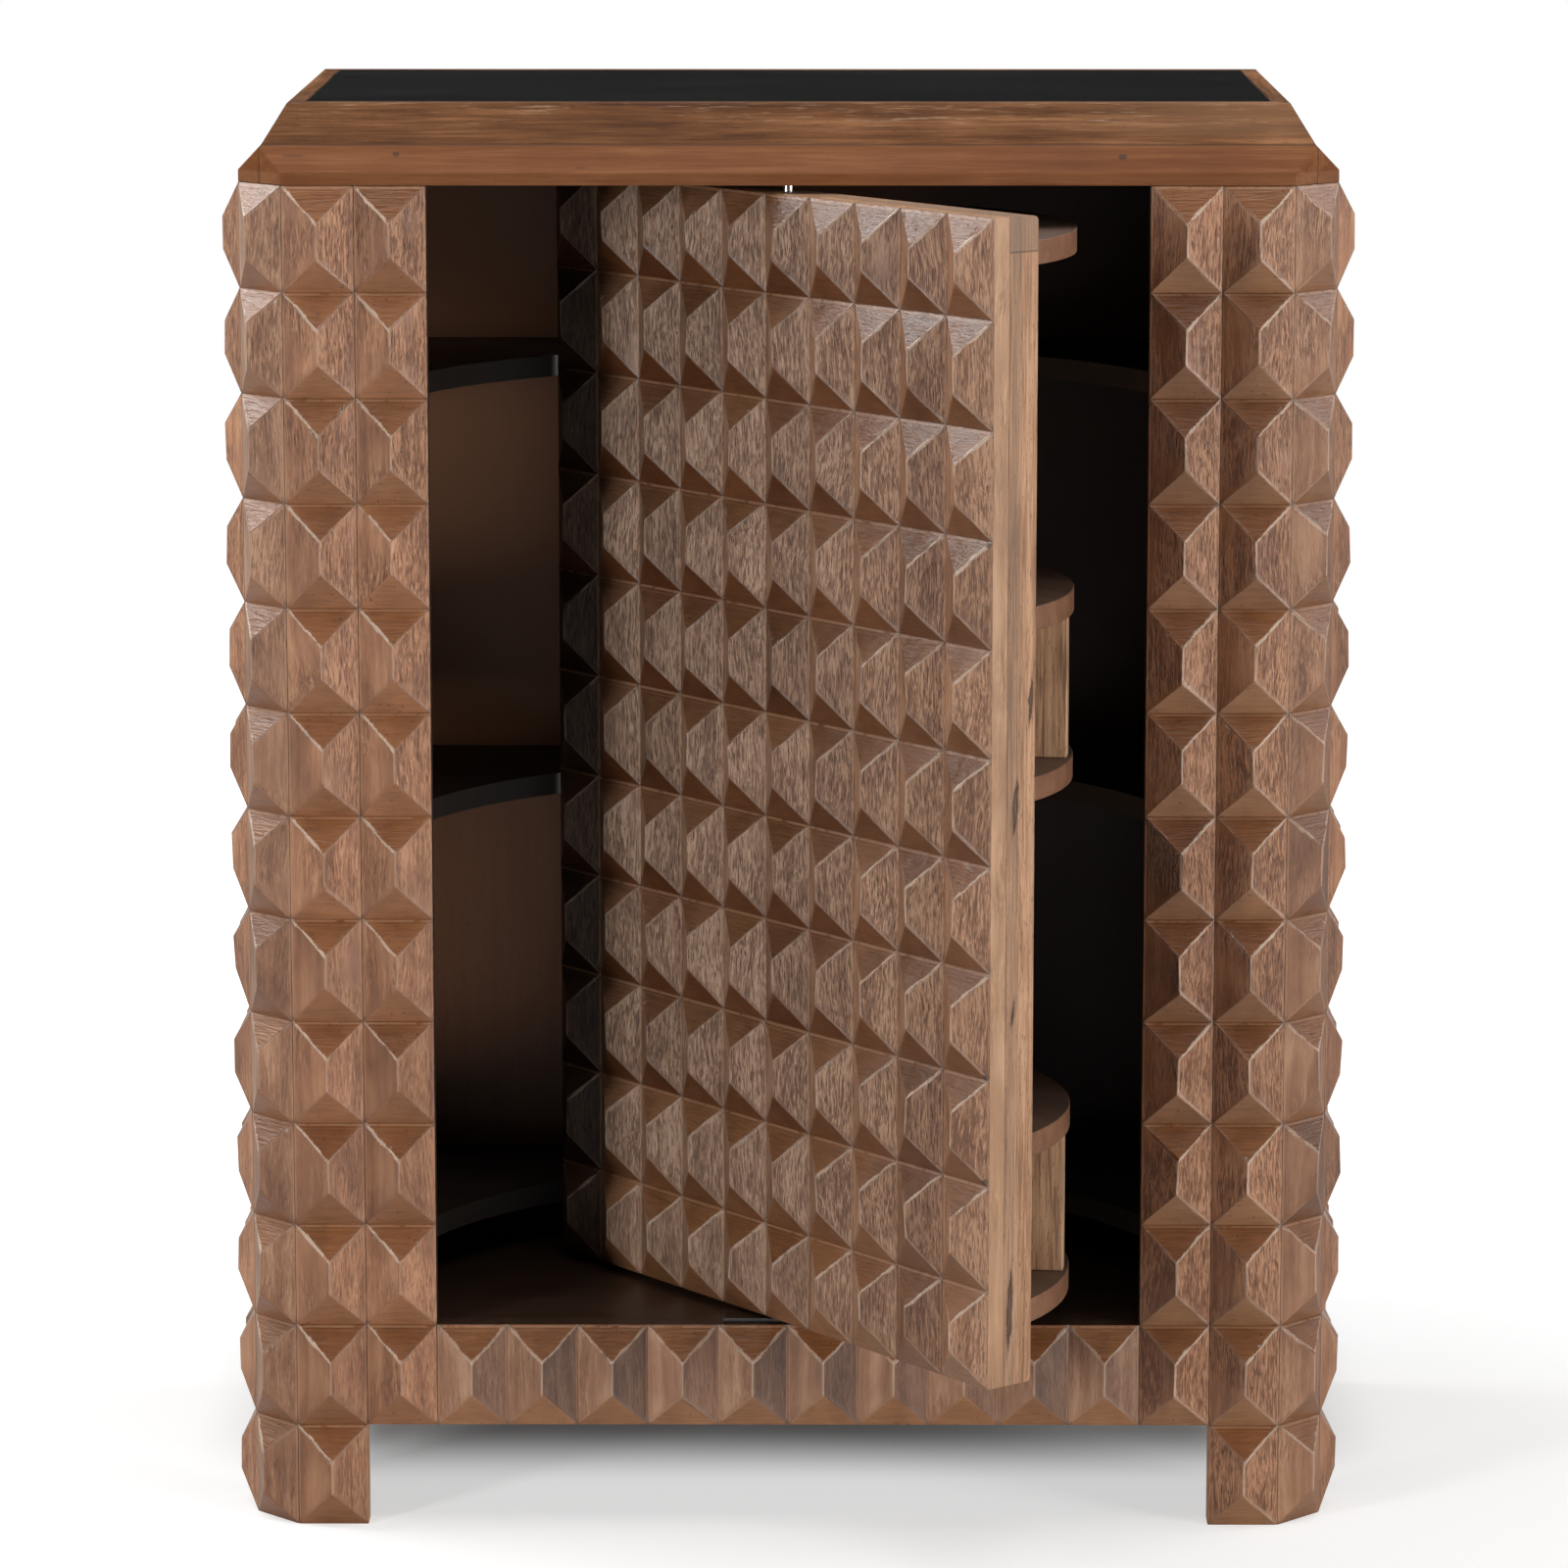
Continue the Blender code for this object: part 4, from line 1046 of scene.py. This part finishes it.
# %% Slits in the slab's near end
SLITS = (  # behind the pivot, height, half width, half height
    (0.019, 0.813, 0.0024, 0.021), (0.002, 0.7195, 0.0030, 0.026),
    (-0.001, 0.266, 0.0030, 0.038), (0.0005, 0.535, 0.0014, 0.013),
)
SLIT_RINGS = (  # how much wider, share, brown: from the outside to the core
    (0.0018, 0.45, (0.21, 0.118, 0.068)),
    (0.0, 0.92, (0.062, 0.027, 0.012)),
    # The paler core is a painted highlight in the crack.
    (-0.0020, 0.60, (0.17, 0.118, 0.088)),
)
LEAN = -0.0016
END_FROM, END_TO = 0.300, 0.315  # along the door from the pivot
at_near_end = fade(tree, along, END_FROM, END_TO)
for back, z, wide, tall in SLITS:
    up = sums(tree, "DIVIDE", sums(tree, "SUBTRACT", height, z), tall)
    room = sums(tree, "MULTIPLY_ADD", product(tree, up, up), -wide, wide)
    leaning = sums(tree, "MULTIPLY_ADD", up, LEAN, sums(tree, "SUBTRACT", backwards, back))
    off = sums(tree, "ABSOLUTE", sums(tree, "ADD", leaning, wobble))
    past_rim = sums(tree, "SUBTRACT", off, room)
    for grown, share, brown in SLIT_RINGS:
        slit = fade(tree, past_rim, grown + 0.0005, grown - 0.0005)
        paint_over(tree, shader, product(tree, slit, at_near_end), share, brown)
print("slits drawn at the near end:", len(SLITS))

# %% [markdown]
# ## Half-round boards and dividers
#
# The boards behind the door are finished like the outside, but sanded smooth. Their tops
# are painted greyer and darker, a painted shade, and their rims redder and a little
# lighter, a painted light. Their fibre runs along the door, so the finish is turned with
# it. The dividers stand upright with flamed grain, and one has a small round knot.

# %% Boards
BOARDS = ("board_bottom", "board_lower", "board_middle", "board_upper", "board_top")
BOARD_BROWNS = ((0.105, 0.046, 0.025), (0.190, 0.092, 0.052), (0.300, 0.158, 0.094))
TOP_SHADE_GREY, RIM_LIGHT_RED = (0.088, 0.068, 0.055), (0.215, 0.094, 0.047)
board_wood, tree, shader, _ = plank(
    "board_wood", "X", BOARD_BROWNS, 0.44, turn=DOOR_ANGLE, bite=1.6
)
upright = facing_of(tree)[2]
# Painted shade on the tops, painted light on the rims.
paint_over(tree, shader, fade(tree, upright, 0.7, 0.9), 0.6, TOP_SHADE_GREY)
rim = fade(tree, sums(tree, "ABSOLUTE", upright), 0.55, 0.25)
paint_over(tree, shader, rim, 0.5, RIM_LIGHT_RED)
dress(board_wood, *BOARDS)
soften(0.0010, *BOARDS)
print("boards dressed:", len(BOARDS))

# %% Dividers
DIVIDERS = ("divider_lower_near", "divider_lower_far", "divider_upper_near", "divider_upper_far")
DIVIDER_BROWNS = ((0.30, 0.158, 0.084), (0.48, 0.278, 0.154), (0.66, 0.415, 0.246))
FLAME_BROWN, KNOT_BROWN = (0.140, 0.072, 0.040), (0.05, 0.025, 0.014)
KNOT_IN, KNOT_UP, KNOT_RADII = 0.016, 0.085, (0.0030, 0.02, 0.0030)
divider_wood, tree, shader, place = plank("divider_wood", "Z", DIVIDER_BROWNS, 0.46, bite=2.0)
flames = grain(tree, place, (0.0045, 0.0045, 0.110))
paint_over(tree, shader, fade(tree, flames, 0.53, 0.63), 0.65, FLAME_BROWN)
low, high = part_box("divider_upper_near")
centre = (high.x - KNOT_IN, high.y - KNOT_IN, low.z + KNOT_UP)
paint_over(tree, shader, spot(tree, place, centre, KNOT_RADII), 0.85, KNOT_BROWN)
dress(divider_wood, *DIVIDERS)
soften(0.0010, *DIVIDERS)
print("dividers dressed:", len(DIVIDERS))

# %% [markdown]
# ## Pivots
#
# The pin at the top is bright turned steel, the plate on the floor is dark steel, and
# bush, washer and sleeve are bronze. Fine scratches run round what was turned and along
# what was rolled.

# %% Metals
TURNED, ROLLED = (0.01, 0.01, 0.0003), (0.02, 0.0004, 0.0004)  # size of a scratch


def metal(name, dark, light, gloss, scratch):
    """A metal with fine scratches and a little cloud in its colour."""
    material, tree, shader = new_finish(name)
    place = object_place(tree)
    scratches = grain(tree, place, scratch)
    cloud = grain(tree, place, (0.01, 0.01, 0.01))
    tree.links.new(ramp(tree, cloud, (0.3, dark), (0.7, light)), shader.inputs["Base Color"])
    rough = sums(tree, "MULTIPLY_ADD", scratches, 0.16, gloss - 0.08)
    tree.links.new(rough, shader.inputs["Roughness"])
    bump = node(tree, "Bump", {"Strength": 0.25, "Distance": 0.00008, "Height": scratches})
    tree.links.new(bump.outputs[0], shader.inputs["Normal"])
    shader.inputs["Metallic"].default_value = 1.0
    return material


bright_steel = metal("bright_steel", (0.55, 0.54, 0.52), (0.70, 0.69, 0.67), 0.22, TURNED)
dark_steel = metal("dark_steel", (0.075, 0.072, 0.068), (0.13, 0.125, 0.12), 0.36, ROLLED)
bronze = metal("bronze", (0.36, 0.22, 0.10), (0.48, 0.31, 0.15), 0.34, TURNED)
dress(bright_steel, "top_pivot_pin")
dress(dark_steel, "floor_pivot")
dress(bronze, "top_bush", "thrust_washer", "bottom_sleeve")
soften(0.0005, "floor_pivot")
print("metals dressed")
